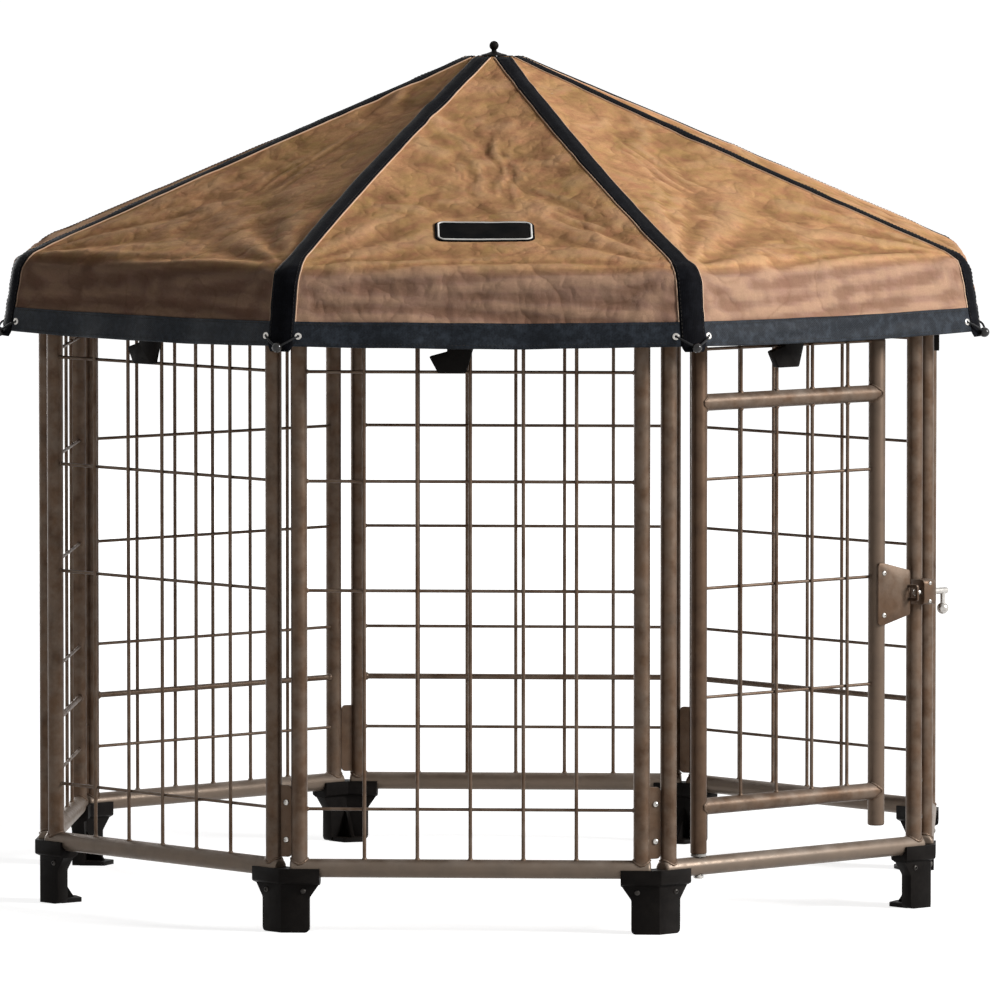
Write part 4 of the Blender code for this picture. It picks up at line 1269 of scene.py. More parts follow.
@dataclass
class Door:
    """The door leaf, its hinges and its sliding bolt."""

    kit: Kit
    panels: Panels
    stile: float = 0.011
    tube: float = 0.0115
    stile_top: float = 0.779
    top_drop: float = 0.117
    stile_rise: float = 0.032
    wire_shift: float = 0.009
    wire_count: int = 4
    bolt: float = 0.0045
    bolt_long: float = 0.060
    arm: float = 0.0035
    arm_long: float = 0.024
    ball: float = 0.008
    pin: float = 0.004
    pin_head: float = 0.007
    pin_head_tall: float = 0.0040
    pin_tip: float = 0.001
    bush_gap: float = 0.0003
    bush_edge: float = 0.0005
    rivet: tuple = (0.0036, 0.0022)
    guide_screw: tuple = (0.0026, 0.0014)

    def __post_init__(self) -> None:
        """Takes the leaf's place from the frame and the panels."""
        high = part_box("door_leaf")[1]
        hinge = next(joint for joint in frame["joints"] if joint["name"] == "door_swing")
        self.hinge_x = hinge["pos_m"][0]
        self.latch_x = high.x - self.tube
        self.high = high.z
        self.top = self.panels.rail_high - self.top_drop
        self.bottom = self.panels.heights[0]

    def leaf(self) -> None:
        """Makes the welded leaf."""
        net = TubeNet()
        hinge, latch, cross = self.hinge_x, self.latch_x, self.panels
        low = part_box("hinge_bush_bottom")[1].z + self.bush_gap
        net.rod((hinge, 0, low), (hinge, 0, self.high), self.stile, rounding=0.0015)
        foot = self.panels.rail_low + self.stile_rise
        # The latch stile's rounded ends carry a painted highlight
        net.rod((latch, 0, foot), (latch, 0, self.stile_top), self.tube, rounding=0.003, shine=0.25)
        for height in (self.top, self.bottom):
            net.rod((hinge, 0, height), (latch, 0, height), self.tube - 0.00015)
            for x, side in ((hinge, 1), (latch, -1)):
                self.ring(net, x, height, side)
        pitch = (latch - hinge) / (self.wire_count + 1)
        columns = [hinge + self.wire_shift + pitch * (k + 1) for k in range(self.wire_count)]
        crest = self.stile_top - 0.003
        for x in columns:
            net.rod((x, -cross.shift, self.bottom), (x, -cross.shift, crest), cross.upright, Run.WIRE)
            for height, up in ((self.bottom, 1), (self.top, -1), (self.top, 1)):
                net.drop((x, -cross.shift, height + up * self.tube * SUNK), cross.upright * END_BEAD)
        for height in (*cross.heights[1:-1], crest):
            net.rod((hinge, cross.shift, height), (latch, cross.shift, height), cross.cross, Run.WIRE)
            for x, side in ((hinge, 1), (latch, -1)):
                net.drop((x + side * self.stile * 0.96, cross.shift, height), cross.cross * END_BEAD)
            for x in columns:
                net.drop((x, 0, height), cross.cross * CROSS_BEAD)
        mesh = net.mesh(self.kit.tubes, self.kit.looks.paint)
        mesh.transform(side_place(0, self.panels.reach))
        piece("welded_door_leaf", mesh, None, Slot.POWDER_COAT, ("door_leaf",), Body.DOOR)

    def ring(self, net: TubeNet, x: float, height: float, side: int) -> None:
        """Adds the weld where a level tube meets an upright one.

        Args:
            net: The tube net.
            x: The upright tube's centre.
            height: The level tube's centre.
            side: 1 where the level tube leaves to the right.
        """
        points = []
        for step in range(WELD_STEPS):
            angle = tau * step / WELD_STEPS
            depth = self.tube * cos(angle)
            out = sqrt(max(self.stile**2 - depth**2, 0.0))
            points.append(Vector((x + side * out, depth, height + self.tube * sin(angle))))
        net.weld(points, self.panels.bead)

    def hinges(self) -> None:
        """Makes the headed pins and the bushes."""
        for end, sign in (("bottom", 1), ("top", -1)):
            low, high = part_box(f"hinge_pin_{end}")
            head = low.z if sign > 0 else high.z
            long, wide, tall = high.z - low.z, self.pin_head, self.pin_head_tall
            shape = [(0, 0), (wide * 0.8, 0), (wide, tall * 0.3), (wide, tall), (self.pin, tall + 0.0001)]
            shape += [(self.pin, long - self.pin_tip), (self.pin - self.pin_tip, long), (0, long)]
            mesh = turned(shape[::-1], 28)
            turn = Matrix.Identity(4) if sign > 0 else Matrix.Rotation(pi, 4, "X")
            mesh.transform(Matrix.Translation((self.hinge_x, -self.panels.reach, head)) @ turn)
            piece(f"headed_hinge_pin_{end}", mesh, self.kit.looks.zinc, Slot.ZINC, (f"hinge_pin_{end}",))
            low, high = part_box(f"hinge_bush_{end}")
            tall, bore, rim = high.z - low.z, self.pin + self.bush_gap, (high.x - low.x) / 2
            edge = self.bush_edge
            shape = [(bore, tall), (rim - edge, tall), (rim, tall - edge)]
            shape += [(rim, edge), (rim - edge, 0), (bore, 0), (bore, tall)]
            mesh = turned(shape, 32)
            mesh.transform(Matrix.Translation((self.hinge_x, -self.panels.reach, low.z)))
            piece(f"washer_{end}", mesh, self.kit.looks.nylon, Slot.NYLON, (f"hinge_bush_{end}",))

    def latch(self) -> None:
        """Makes the strike, the guide, the bolt and their rivets."""
        looks = self.kit.looks
        coat = (looks.paint, Slot.POWDER_COAT)
        piece("strike_plate", node_copy("latch_strike", 0.0006), *coat, ("latch_strike",), Body.DOOR)
        piece("bolt_guide", node_copy("latch_guide", 0.0008), *coat, ("latch_guide",))
        low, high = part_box("latch_bolt")
        y = (low.y + high.y) / 2
        height = high.z - self.bolt
        net = TubeNet()
        net.rod((low.x, y, height), (low.x + self.bolt_long, y, height), self.bolt, rounding=0.0012)
        arm_x = low.x + self.bolt_long - 2 * self.arm
        net.rod((arm_x, y, height), (arm_x, y, height - self.arm_long), self.arm)
        bar = net.mesh(self.kit.tubes, looks.zinc)
        round_steps = [radians(90 - 15 * k) for k in range(13)]
        knob = turned([(max(self.ball * cos(a), 0), self.ball * sin(a)) for a in round_steps], 32)
        knob.transform(Matrix.Translation((arm_x, y, height - self.arm_long)))
        piece("bolt_with_arm", joined((bar, knob)), looks.zinc, Slot.ZINC, ("latch_bolt",), Body.LATCH)
        rivets = Rows()
        low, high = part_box("latch_strike")
        face = -self.panels.reach - self.tube - 0.0033
        for share in (0.16, 0.84):
            rivets.add((self.latch_x, face, low.z + (high.z - low.z) * share), (0, -1, 0), (1, 0, 0))
        mesh = rivets.mesh(self.kit.scatter, screw_head(*self.rivet), looks.zinc)
        piece("strike_rivets", mesh, None, Slot.ZINC, (), Body.DOOR)
        bolts = Rows()
        low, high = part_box("latch_guide")
        for share in (0.14, 0.86):
            bolts.add(((low.x + high.x) / 2, low.y, low.z + (high.z - low.z) * share), (0, -1, 0), (1, 0, 0))
        mesh = bolts.mesh(self.kit.scatter, screw_head(*self.guide_screw), looks.zinc)
        piece("guide_screws", mesh, None, Slot.ZINC)

    def build(self) -> None:
        """Makes the whole door."""
        self.leaf()
        self.hinges()
        self.latch()


# Corners


@dataclass
class Corners:
    """The moulded feet, top brackets and canopy clips, and their screws."""

    kit: Kit
    panels: Panels
    rounding: float = 0.0007
    wing: float = 0.026
    cup: float = 0.0155
    foot_face: float = 0.009
    foot_screw_drop: float = 0.030
    cap_screw_rise: float = 0.002
    screw: tuple = (0.0036, 0.0022)

    def build(self) -> None:
        """Makes the mouldings round the gazebo."""
        look = self.kit.looks.moulding
        for node, name in (("foot", "moulded_foot"), ("top_bracket", "moulded_bracket")):
            mesh = node_copy(f"{node}_1", self.rounding)
            for index in range(COUNT):
                copy = moved(mesh, side_place(index))
                piece(f"{name}_{index + 1}", copy, look, Slot.MOULDING, (f"{node}_{index + 1}",))
        clip = node_copy("canopy_clip_front", self.rounding)
        for index, side in enumerate(SIDES):
            copy = moved(clip, side_place(index))
            piece(f"snap_clip_{side}", copy, look, Slot.MOULDING, (f"canopy_clip_{side}",))
        self.screws()

    def screws(self) -> None:
        """Makes a screw on each wing of each foot and bracket."""
        rows = Rows()
        reach = self.panels.reach / cos(HALF_TURN)
        foot_z = self.panels.rail_low - self.foot_screw_drop
        cap_z = self.panels.rail_high + self.cap_screw_rise
        for index in range(COUNT):
            place = side_place(index + 0.5, reach)
            for side in (-1, 1):
                swing = Matrix.Rotation(side * HALF_TURN, 4, "Z")
                up = (place @ swing).to_3x3() @ Vector((0, -1, 0))
                for height, depth in ((foot_z, self.foot_face), (cap_z, self.cup)):
                    rows.add(place @ swing @ Vector((side * self.wing, -depth, height)), up, (0, 0, 1))
        mesh = rows.mesh(self.kit.scatter, screw_head(*self.screw), self.kit.looks.screw)
        piece("corner_screws", mesh, None, Slot.MOULDING)


# Roof


def pole_ends(node: str) -> tuple[Vector, Vector]:
    """Finds the middles of a pole's two ends.

    Args:
        node: The pole's node.

    Returns:
        The end at the hub, and the end at the corner.
    """
    points = np.array([vert.co for vert in frame["nodes"][node].data.vertices])
    centre = points.mean(axis=0)
    heading = Vector((centre[0], centre[1], 0)).normalized()
    spread = points - centre
    axis = np.linalg.svd(spread, full_matrices=False)[2][0]
    axis = Vector(axis) * (1 if Vector(axis).dot(heading) > 0 else -1)
    share = spread @ np.array(axis)
    middle = Vector(centre)
    half = (share.max() - share.min()) / 2
    offset = (share.max() + share.min()) / 2
    return middle + axis * (offset - half), middle + axis * (offset + half)


@dataclass
class Roof:
    """The poles, the hub and the finial under and on the canopy."""

    kit: Kit
    pole: float = 0.008
    end_round: float = 0.003
    finial_ball: float = 0.0065
    finial_neck: float = 0.0033
    finial_stem: float = 0.003
    finial_tall: float = 0.0202

    def build(self) -> None:
        """Makes the roof's rigid pieces."""
        looks = self.kit.looks
        for index in range(COUNT):
            net = TubeNet()
            # The poles' rounded ends carry a faint painted highlight
            net.rod(*pole_ends(f"roof_pole_{index + 1}"), self.pole, rounding=self.end_round, shine=0.1)
            mesh = net.mesh(self.kit.tubes, looks.paint)
            piece(f"roof_tube_{index + 1}", mesh, None, Slot.POWDER_COAT, (f"roof_pole_{index + 1}",))
        piece("moulded_hub", node_copy("roof_hub", 0.0006), looks.moulding, Slot.MOULDING, ("roof_hub",))
        low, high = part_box("finial")
        flange = (high.x - low.x) / 2
        ball, neck, stem = self.finial_ball, self.finial_neck, self.finial_stem
        centre = high.z - ball
        seat = high.z - self.finial_tall
        angles = [radians(90 - 12 * k) for k in range(13)]
        shape = [(ball * cos(a), centre + ball * sin(a)) for a in angles]
        shape[0] = (0, high.z)
        shape += [(neck, centre - ball * 0.95), (neck * 1.2, seat + 0.0055), (0.0105, seat + 0.0030)]
        shape += [(flange - 0.0008, seat + 0.0013), (flange, seat + 0.0006), (flange, seat)]
        shape += [(stem, seat), (stem, low.z), (0, low.z)]
        piece("turned_finial", turned(shape, 40), looks.moulding, Slot.MOULDING, ("finial",))


# Canopy


@dataclass
class Canopy:
    """The sewn cover: one continuous sheet with its tapes, hem, seams, patch and corner ties."""

    kit: Kit
    hole: float = 0.0105
    top_reach: float = 0.043
    eave_reach: float = 0.686
    lip_reach: float = 0.706
    lip_drop: float = 0.0297
    skin: float = 0.003
    thick: float = 0.0011
    sag: float = 0.010
    sway: float = 0.004
    twist: float = radians(2.2)
    lift: float = 0.0030
    columns: int = 50
    pole: float = 0.008
    ridge: float = 0.022
    pole_end_fade: float = 0.012
    ridge_soft: float = 0.003
    corner_soft: float = 0.009
    tape_side: float = 0.0125
    corner_tape: float = 0.0185
    hem_tall: float = 0.030
    patch_side: str = "front_left"
    patch_share: float = 0.825
    patch_half: tuple = (0.0665, 0.0345)
    patch_round: float = 0.013
    # Each fold: across and share of the slope at its upper end, the same at its lower end, depth, width
    pull_folds: tuple = (
        (0.47, 0.74, 0.970, 0.985, 0.0042, 0.0065),
        (0.42, 0.85, 0.930, 1.000, 0.0030, 0.0055),
        (0.36, 0.60, 0.800, 0.830, 0.0024, 0.0055),
        (0.03, 0.34, 0.120, 0.640, 0.0024, 0.0050),
        (0.24, 0.42, 0.200, 0.680, 0.0022, 0.0050),
        (-0.18, 0.46, -0.060, 0.660, 0.0020, 0.0050),
    )
    bend_steps: int = 12
    wave_count: int = 26
    seed: int = 11

    def __post_init__(self) -> None:
        """Draws the cover's line down a hip, from the top over the eave to the hem."""
        low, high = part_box("canopy_gore_front")
        self.crown = high.z - self.skin / 2
        self.hem_reach = (-low.y - self.skin / 2) / cos(HALF_TURN)
        self.hem_height = low.z
        top = self.crown - 0.001
        ends = pole_ends("roof_pole_1")
        self.pole_reach = [hypot(end.x, end.y) for end in ends]
        self.pole_top = [end.z + self.pole / cos(radians(22.3)) + 0.0012 for end in ends]
        eave = self.pole_top[1] + 0.0010
        slope = Vector((self.eave_reach - self.top_reach, eave - top)).normalized()
        lip = Vector((self.lip_reach, eave - self.lip_drop))
        fall = Vector((self.hem_reach - lip.x, self.hem_height - lip.y)).normalized()
        start = Vector((self.eave_reach, eave))
        pull = (lip - start).length
        line = [Vector((self.hole, self.crown)), Vector((self.top_reach, top))]
        # The bend over the eave is a curve that starts along the slope and ends along the fall
        for step in range(self.bend_steps + 1):
            s = step / self.bend_steps
            line.append(
                start * (2 * s**3 - 3 * s**2 + 1) + slope * pull * (s**3 - 2 * s**2 + s)
                + lip * (3 * s**2 - 2 * s**3) + fall * pull * (s**3 - s**2)
            )
        line.append(Vector((self.hem_reach, self.hem_height)))
        line.append(line[-1] + fall * 0.02)
        reach, height = np.array(line).T
        run = np.concatenate(([0.0], np.cumsum(np.hypot(np.diff(reach), np.diff(height)))))
        fine = np.arange(0.0, run[-1], 0.001)
        reach, height = np.interp(fine, run, reach), np.interp(fine, run, height)
        # Softens the line's corners, and keeps its ends
        kernel = np.hanning(15)
        kernel /= kernel.sum()
        pad = len(kernel) // 2
        soft = []
        for values in (reach, height):
            ends = (2 * values[0] - values[pad:0:-1], values, 2 * values[-1] - values[-2:-pad - 2:-1])
            soft.append(np.convolve(np.concatenate(ends), kernel, "valid"))
        self.run, self.reach_line, self.height_line = fine, soft[0], soft[1]
        self.top_run, self.eave_run = run[1], run[2]
        self.lip_run, self.hem_run = run[2 + self.bend_steps], run[3 + self.bend_steps]
        self.waves = self._waves()

    def _waves(self) -> list[tuple]:
        """Draws lots for the cloth's small creases.

        Returns:
            Each one's turn for each metre, direction, phase and strength.
        """
        rng = np.random.default_rng(self.seed)
        waves = []
        for _ in range(self.wave_count):
            length = rng.uniform(0.030, 0.120)
            angle = rng.uniform(0, pi)
            waves.append((tau / length, angle, rng.uniform(0, tau), length * rng.uniform(0.5, 1.2)))
        return waves

    def patch_place(self) -> tuple[float, float]:
        """Returns the middle of the patch, across its gore and down the hip."""
        return 0.0, self.top_run + self.patch_share * (self.eave_run - self.top_run)

    def half_width(self, run: Array) -> Array:
        """Returns half of a gore's width at a distance down it."""
        return np.interp(run, self.run, self.reach_line) * sin(HALF_TURN)

    def creases(self, gore: Array, across: Array, run: Array) -> Array:
        """Works out how far the cloth stands off its flat shape.

        Args:
            gore: The gore's number at each point.
            across: From -1 at one hip to 1 at the next.
            run: The distance down the hip.

        Returns:
            The height at each point.
        """
        half = self.half_width(run)
        x = across * half
        window = 1 - np.abs(across) ** 6
        share = np.clip((run - self.top_run) / (self.eave_run - self.top_run), 0, 1)
        fall = np.clip((run - self.lip_run) / (self.hem_run - self.lip_run), 0, 1.2)
        slope = np.clip(share * 6, 0, 1) * (1 - fall)
        # The sag between two poles, and the valance's slow waves
        height = -self.sag * (1 - across**2) * np.sin(np.pi * share)
        height -= self.sway * (1 - across**2) * np.sin(2 * np.pi * across + gore * 1.9) * fall
        height -= 0.0025 * (1 - across**2) * np.cos(np.pi * 5 * across + gore * 2.3) * fall
        # Small creases, drawn on a warped grid so that none runs straight
        drift = gore * 7.31
        warp_x = x + 0.018 * np.sin(23 * run + 3.1 * gore) + 0.010 * np.sin(51 * x + 17 * run + gore)
        warp_y = run + 0.016 * np.sin(27 * x + 1.7 * gore) + 0.008 * np.sin(47 * run + drift)
        small = np.zeros_like(x)
        for turn, angle, phase, weight in self.waves:
            place = warp_x * cos(angle) + warp_y * sin(angle)
            wave = np.sin(turn * place + phase + drift * (1 + angle))
            small += weight * (wave + 0.6 * (np.abs(wave) ** 0.5) * np.sign(wave))
        patch = 0.5 + 0.5 * np.sin(9 * x + 5 * gore + 6 * np.sin(5 * run + gore))
        folded = 0.0045 * small / 1.2 * slope * (0.25 + 0.75 * patch)
        # Folds that fan out from the two lower corners
        for side in (-1, 1):
            dx = (side - across) * half * side
            dy = self.eave_run - run
            far = np.hypot(dx, dy) + 1e-6
            angle = np.arctan2(dx, dy)
            strength = 0.0034 * (far / 0.10) * np.exp(-((far / 0.17) ** 1.4))
            fan = np.sin(11 * angle + 2.6 * np.sin(gore * 2.1 + side) + 5 * far)
            folded = folded + strength * fan * slope
        folded = folded + self.pulls(gore, x, run) * np.clip(slope, 0, 1)
        # The patch keeps the cloth under it flat
        centre_x, centre_run = self.patch_place()
        beside, above = (x - centre_x) / 0.086, (run - centre_run) / 0.054
        flat = np.where(gore == SIDES.index(self.patch_side), np.exp(-(beside**4) - above**4), 0.0)
        height += folded * (1 - 0.92 * flat)
        # Puckers over the eave, and ripples down the valance
        near = run - self.eave_run
        roll = np.exp(-((near - 0.012) / 0.030) ** 2)
        height += 0.0019 * roll * np.sin(near / 0.0052 + 1.8 * np.sin(2.2 * across + gore) + 9 * x)
        ripple = np.sin(tau * run / 0.026 + 3 * np.sin(6 * x + gore * 1.3))
        height += 0.0021 * fall * (1 - fall) * 3 * ripple
        return height * window

    def pulls(self, gore: Array, x: Array, run: Array) -> Array:
        """Works out the few sharp folds that pull towards a lower corner of each gore.

        Args:
            gore: The gore's number at each point.
            x: Metres from the gore's middle.
            run: The distance down the hip.

        Returns:
            The height at each point.
        """
        marked = gore == SIDES.index(self.patch_side)
        flip = np.where(marked | (gore % 2 == 1), 1.0, -1.0)
        weight = np.where(marked, 1.0, 0.65)
        side = flip * x + 0.004 * np.sin(55 * run + 2.1 * gore)
        height = np.zeros_like(x)
        slope = self.eave_run - self.top_run
        for across_1, share_1, across_2, share_2, depth, width in self.pull_folds:
            run_1, run_2 = self.top_run + share_1 * slope, self.top_run + share_2 * slope
            x_1, x_2 = across_1 * self.half_width(run_1), across_2 * self.half_width(run_2)
            length = hypot(x_2 - x_1, run_2 - run_1)
            way_x, way_run = (x_2 - x_1) / length, (run_2 - run_1) / length
            along = ((side - x_1) * way_x + (run - run_1) * way_run) / length
            off = (side - x_1) * way_run - (run - run_1) * way_x + 0.004 * np.sin(9 * along)
            fade = np.sqrt(np.sin(np.pi * np.clip(along, 0, 1)))
            ridge = np.exp(-(((off - 1.7 * width) / (1.2 * width)) ** 2))
            height += depth * fade * (0.8 * ridge - np.exp(-((off / width) ** 2)))
        return height * weight

    def surface(self, gore: Any, across: Any, run: Any) -> Array:
        """Places points of the cloth's middle.

        Args:
            gore: The gore's number at each point.
            across: From -1 at one hip to 1 at the next.
            run: The distance down the hip.

        Returns:
            The points.
        """
        gore, across, run = np.broadcast_arrays(*(np.asarray(v, dtype=float) for v in (gore, across, run)))
        step = 0.002
        lines = (self.reach_line, self.height_line)
        reach, height = (np.interp(run, self.run, line) for line in lines)
        after_r, after_z = (np.interp(run + step, self.run, line) for line in lines)
        before_r, before_z = (np.interp(run - step, self.run, line) for line in lines)
        fall_r, fall_z = after_r - before_r, after_z - before_z
        out = fall_r * cos(HALF_TURN)
        size = np.hypot(out, fall_z)
        normal_out, normal_up = -fall_z / size, out / size
        share = np.clip((run - self.top_run) / (self.eave_run - self.top_run), 0, 1)
        fall = np.clip((run - self.lip_run) / (self.hem_run - self.lip_run), 0, 1)
        facing = -pi / 2 + gore * TURN + self.twist * share**1.5
        off = self.creases(gore, across, run)
        away = reach * cos(HALF_TURN) + off * normal_out
        side = across * reach * sin(HALF_TURN)
        up = height + off * normal_up + self.lift * share * (1 - fall)
        # The hip is rounded off, more so at the corner below the eave
        near = (1 - np.abs(across)) * reach * sin(HALF_TURN)
        below = np.clip((run - self.eave_run) / 0.04, 0, 1)
        soft = self.ridge_soft + (self.corner_soft - self.ridge_soft) * below
        dip = tan(HALF_TURN) * soft * np.exp(-near / soft) * np.clip(share * 12, 0, 1)
        away = away - dip * cos(HALF_TURN)
        side = side - dip * sin(HALF_TURN) * np.sign(across)
        up = up - 0.004 * (1 - across**2) * fall
        x = away * np.cos(facing) - side * np.sin(facing)
        y = away * np.sin(facing) + side * np.cos(facing)
        return np.stack((x, y, self.over_poles(x, y, up, (1 - fall) ** 6)), axis=-1)

    def over_poles(self, x: Array, y: Array, height: Array, held: Array) -> Array:
        """Raises the cloth to a soft ridge where a pole holds it up.

        Args:
            x: The points' places.
            y: The points' places.
            height: The cloth's own height there.
            held: 1 on the slope, and 0 on the valance, which no pole touches.

        Returns:
            The height at each point.
        """
        reach = np.hypot(x, y)
        turn = (np.arctan2(y, x) + pi / 2) % TURN - HALF_TURN
        beside, along = reach * np.sin(turn), reach * np.cos(turn)
        top = np.interp(along, self.pole_reach, self.pole_top)
        near_end = np.clip((self.pole_reach[1] + self.pole_end_fade - along) / self.pole_end_fade, 0, 1)
        near_hub = np.clip((along - self.pole_reach[0]) / self.pole_end_fade, 0, 1)
        need = np.clip(top - height, 0, None) * held
        return height + need * np.exp(-((beside / self.ridge) ** 2)) * near_end * near_hub

    def beside_hip(self, hip: Any, side: Any, run: Any) -> Array:
        """Places points of the cloth a distance to one side of a hip.

        Args:
            hip: The hip's number: it closes the gore of the same number.
            side: Metres, negative on that gore and positive on the next.
            run: The distance down the hip.

        Returns:
            The points.
        """
        hip, side, run = np.broadcast_arrays(*(np.asarray(v, dtype=float) for v in (hip, side, run)))
        inset = np.abs(side) / self.half_width(run)
        gore = np.where(side <= 0, hip, (hip + 1) % COUNT)
        across = np.where(side <= 0, 1 - inset, inset - 1)
        return self.surface(gore, across, run)

    @staticmethod
    def normals(grid: Array, ring: bool = False) -> Array:
        """Works out the outward normals of a grid of points.

        Args:
            grid: Rows that go down, of points that go anticlockwise.
            ring: Whether the last column meets the first.

        Returns:
            The normals.
        """
        down = np.gradient(grid, axis=0)
        if ring:
            along = np.roll(grid, -1, axis=1) - np.roll(grid, 1, axis=1)
        else:
            along = np.gradient(grid, axis=1)
        normal = np.cross(down, along)
        return normal / np.linalg.norm(normal, axis=-1, keepdims=True)

    def grid_mesh(self, grid: Array, uv: Array, ring: bool) -> Mesh:
        """Makes a mesh of a grid of points.

        Args:
            grid: Rows that go down, of points that go anticlockwise.
            uv: For each cell the four corners' places on the cloth.
            ring: Whether the last column meets the first.

        Returns:
            The mesh, facing outwards, with its UV map.
        """
        rows, columns = grid.shape[:2]
        cells = columns if ring else columns - 1
        index = np.arange(rows * columns).reshape(rows, columns)
        after = np.roll(index, -1, axis=1)[:, :cells]
        here = index[:, :cells]
        faces = np.stack((here[:-1], here[1:], after[1:], after[:-1]), axis=-1).reshape(-1, 4)
        mesh = bpy.data.meshes.new("grid")
        mesh.from_pydata(grid.reshape(-1, 3), [], faces.tolist())
        layer = mesh.uv_layers.new(name="cloth")
        layer.data.foreach_set("uv", uv.reshape(-1))
        mesh.shade_smooth()
        return mesh

    def thickened(self, mesh: Mesh, thickness: float) -> Mesh:
        """Gives a sheet an even thickness about its middle.

        Args:
            mesh: The sheet, which goes.
            thickness: From face to face.

        Returns:
            The mesh.
        """
        obj = shown("cloth", mesh)
        modifier = obj.modifiers.new("thickness", "SOLIDIFY")
        modifier.thickness = thickness
        modifier.offset = 0.0
        modifier.use_even_offset = False
        return evaluated(obj)

    def run_rows(self) -> Array:
        """Spaces the sheet's rows of points, closer where it bends.

        Returns:
            Their distances down the hip.
        """
        parts = (
            np.linspace(0, self.top_run, 5)[:-1],
            np.linspace(self.top_run, self.eave_run - 0.05, 56)[:-1],
            np.linspace(self.eave_run - 0.05, self.lip_run + 0.01, 22)[:-1],
            np.linspace(self.lip_run + 0.01, self.hem_run, 15),
        )
        return np.concatenate(parts)

    def round_columns(self) -> tuple[Array, Array]:
        """Returns each column's gore, and its place across it."""
        across = np.arange(self.columns) / self.columns * 2 - 1
        return np.repeat(np.arange(COUNT), self.columns), np.tile(across, COUNT)

    def sheet(self) -> Object:
        """Makes the cover's one sheet.

        Returns:
            The piece.
        """
        runs = self.run_rows()
        gore, across = self.round_columns()
        grid = self.surface(gore[None, :], across[None, :], runs[:, None])
        half = self.half_width(runs)
        left = across[None, :] * half[:, None]
        right = (across[None, :] + 2 / self.columns) * half[:, None]
        down = np.broadcast_to(runs[:, None], left.shape)
        corners = (left[:-1], down[:-1], left[1:], down[1:], right[1:], down[1:], right[:-1], down[:-1])
        uv = np.stack(corners, axis=-1)
        mesh = self.grid_mesh(grid, uv, ring=True)
        off = self.creases(*np.broadcast_arrays(gore[None, :].astype(float), across[None, :], runs[:, None]))
        soft = off.copy()
        for _ in range(5):
            soft = (soft + np.roll(soft, 1, 1) + np.roll(soft, -1, 1)) / 3
            soft[1:-1] = (soft[:-2] + soft[1:-1] + soft[2:]) / 3
        # How far the cloth stands above or below its smoothed shape: the masks of the painted highlight on
        # crests and the painted shade in hollows
        rise = (off - soft) / 0.0007
        # Rises from 0 at the eave: the mask of the valance's painted shade
        valance_shade = np.broadcast_to((runs[:, None] - self.eave_run) / 0.02, off.shape)
        for name, values in (("crest", rise), ("painted_hollow_shade", -rise), ("valance_shade", valance_shade)):
            data = mesh.attributes.new(name, "FLOAT", "POINT").data
            data.foreach_set("value", np.clip(values, 0, 1).ravel())
        mesh = self.thickened(mesh, self.thick)
        gores = tuple(f"canopy_gore_{side}" for side in SIDES)
        return piece("canopy_sheet", mesh, self.kit.looks.canvas, Slot.CANVAS, gores)

    def tape(self, grid: Array, down: Array, along: Array, thickness: float) -> Mesh:
        """Makes a tape.

        Args:
            grid: The points of its middle.
            down: The tape's own measure down the rows.
            along: Its measure along the columns, with one more value where it closes.
            thickness: From face to face.

        Returns:
            The tape's mesh.
        """
        left, right = along[None, :-1], along[None, 1:]
        top, low = down[:-1, None], down[1:, None]
        corners = np.broadcast_arrays(left, top, left, low, right, low, right, top)
        ring = len(along) > grid.shape[1]
        return self.thickened(self.grid_mesh(grid, np.stack(corners, axis=-1), ring), thickness)

    def hip_tapes(self) -> Object:
        """Makes the tape over each hip and down each corner, with its loose end below the hem.

        Returns:
            The piece.
        """
        runs = np.concatenate((
            np.linspace(self.top_run - 0.004, self.eave_run - 0.03, 60)[:-1],
            np.linspace(self.eave_run - 0.03, self.hem_run + 0.009, 34),
        ))
        half = self.tape_half(runs) * np.clip((self.hem_run + 0.0095 - runs) / 0.006, 0.55, 1) ** 0.5
        spread = np.linspace(-1, 1, 9)
        meshes = []
        for hip in range(COUNT):
            side = spread[None, :] * half[:, None]
            grid = self.beside_hip(hip, side, runs[:, None])
            placed = grid + self.normals(grid) * (self.thick / 2 + 0.0008)
            meshes.append(self.tape(placed, runs, spread * self.tape_side, 0.0013))
        return piece("hip_webbing", joined(meshes), self.kit.looks.webbing, Slot.MOULDING)

    def tape_half(self, run: Array) -> Array:
        """Returns half of the hip tape's width at a distance down the hip."""
        widen = np.clip((run - self.eave_run + 0.03) / 0.05, 0, 1)
        return self.tape_side + (self.corner_tape - self.tape_side) * widen**2 * (3 - 2 * widen)

    def piping(self) -> Object:
        """Makes the fine cord sewn in beside each edge of the hip tapes.

        Returns:
            The piece.
        """
        net = TubeNet()
        runs = np.linspace(self.top_run, self.hem_run - self.hem_tall, 90)
        for hip in range(COUNT):
            for side in (-1, 1):
                near = self.beside_hip(hip, side * (self.tape_half(runs) + 0.0011), runs)
                inner = self.beside_hip(hip, side * (self.tape_half(runs) + 0.0001), runs)
                down = np.gradient(near, axis=0)
                normal = np.cross(down, (near - inner) * side)
                normal /= np.linalg.norm(normal, axis=1, keepdims=True)
                net.line(near + normal * (self.thick / 2 + 0.0004), [0.0010] * len(runs), Run.WIRE)
        mesh = net.mesh(self.kit.tubes, self.kit.looks.cord, fine=6)
        return piece("tape_piping", mesh, None, Slot.CANVAS)

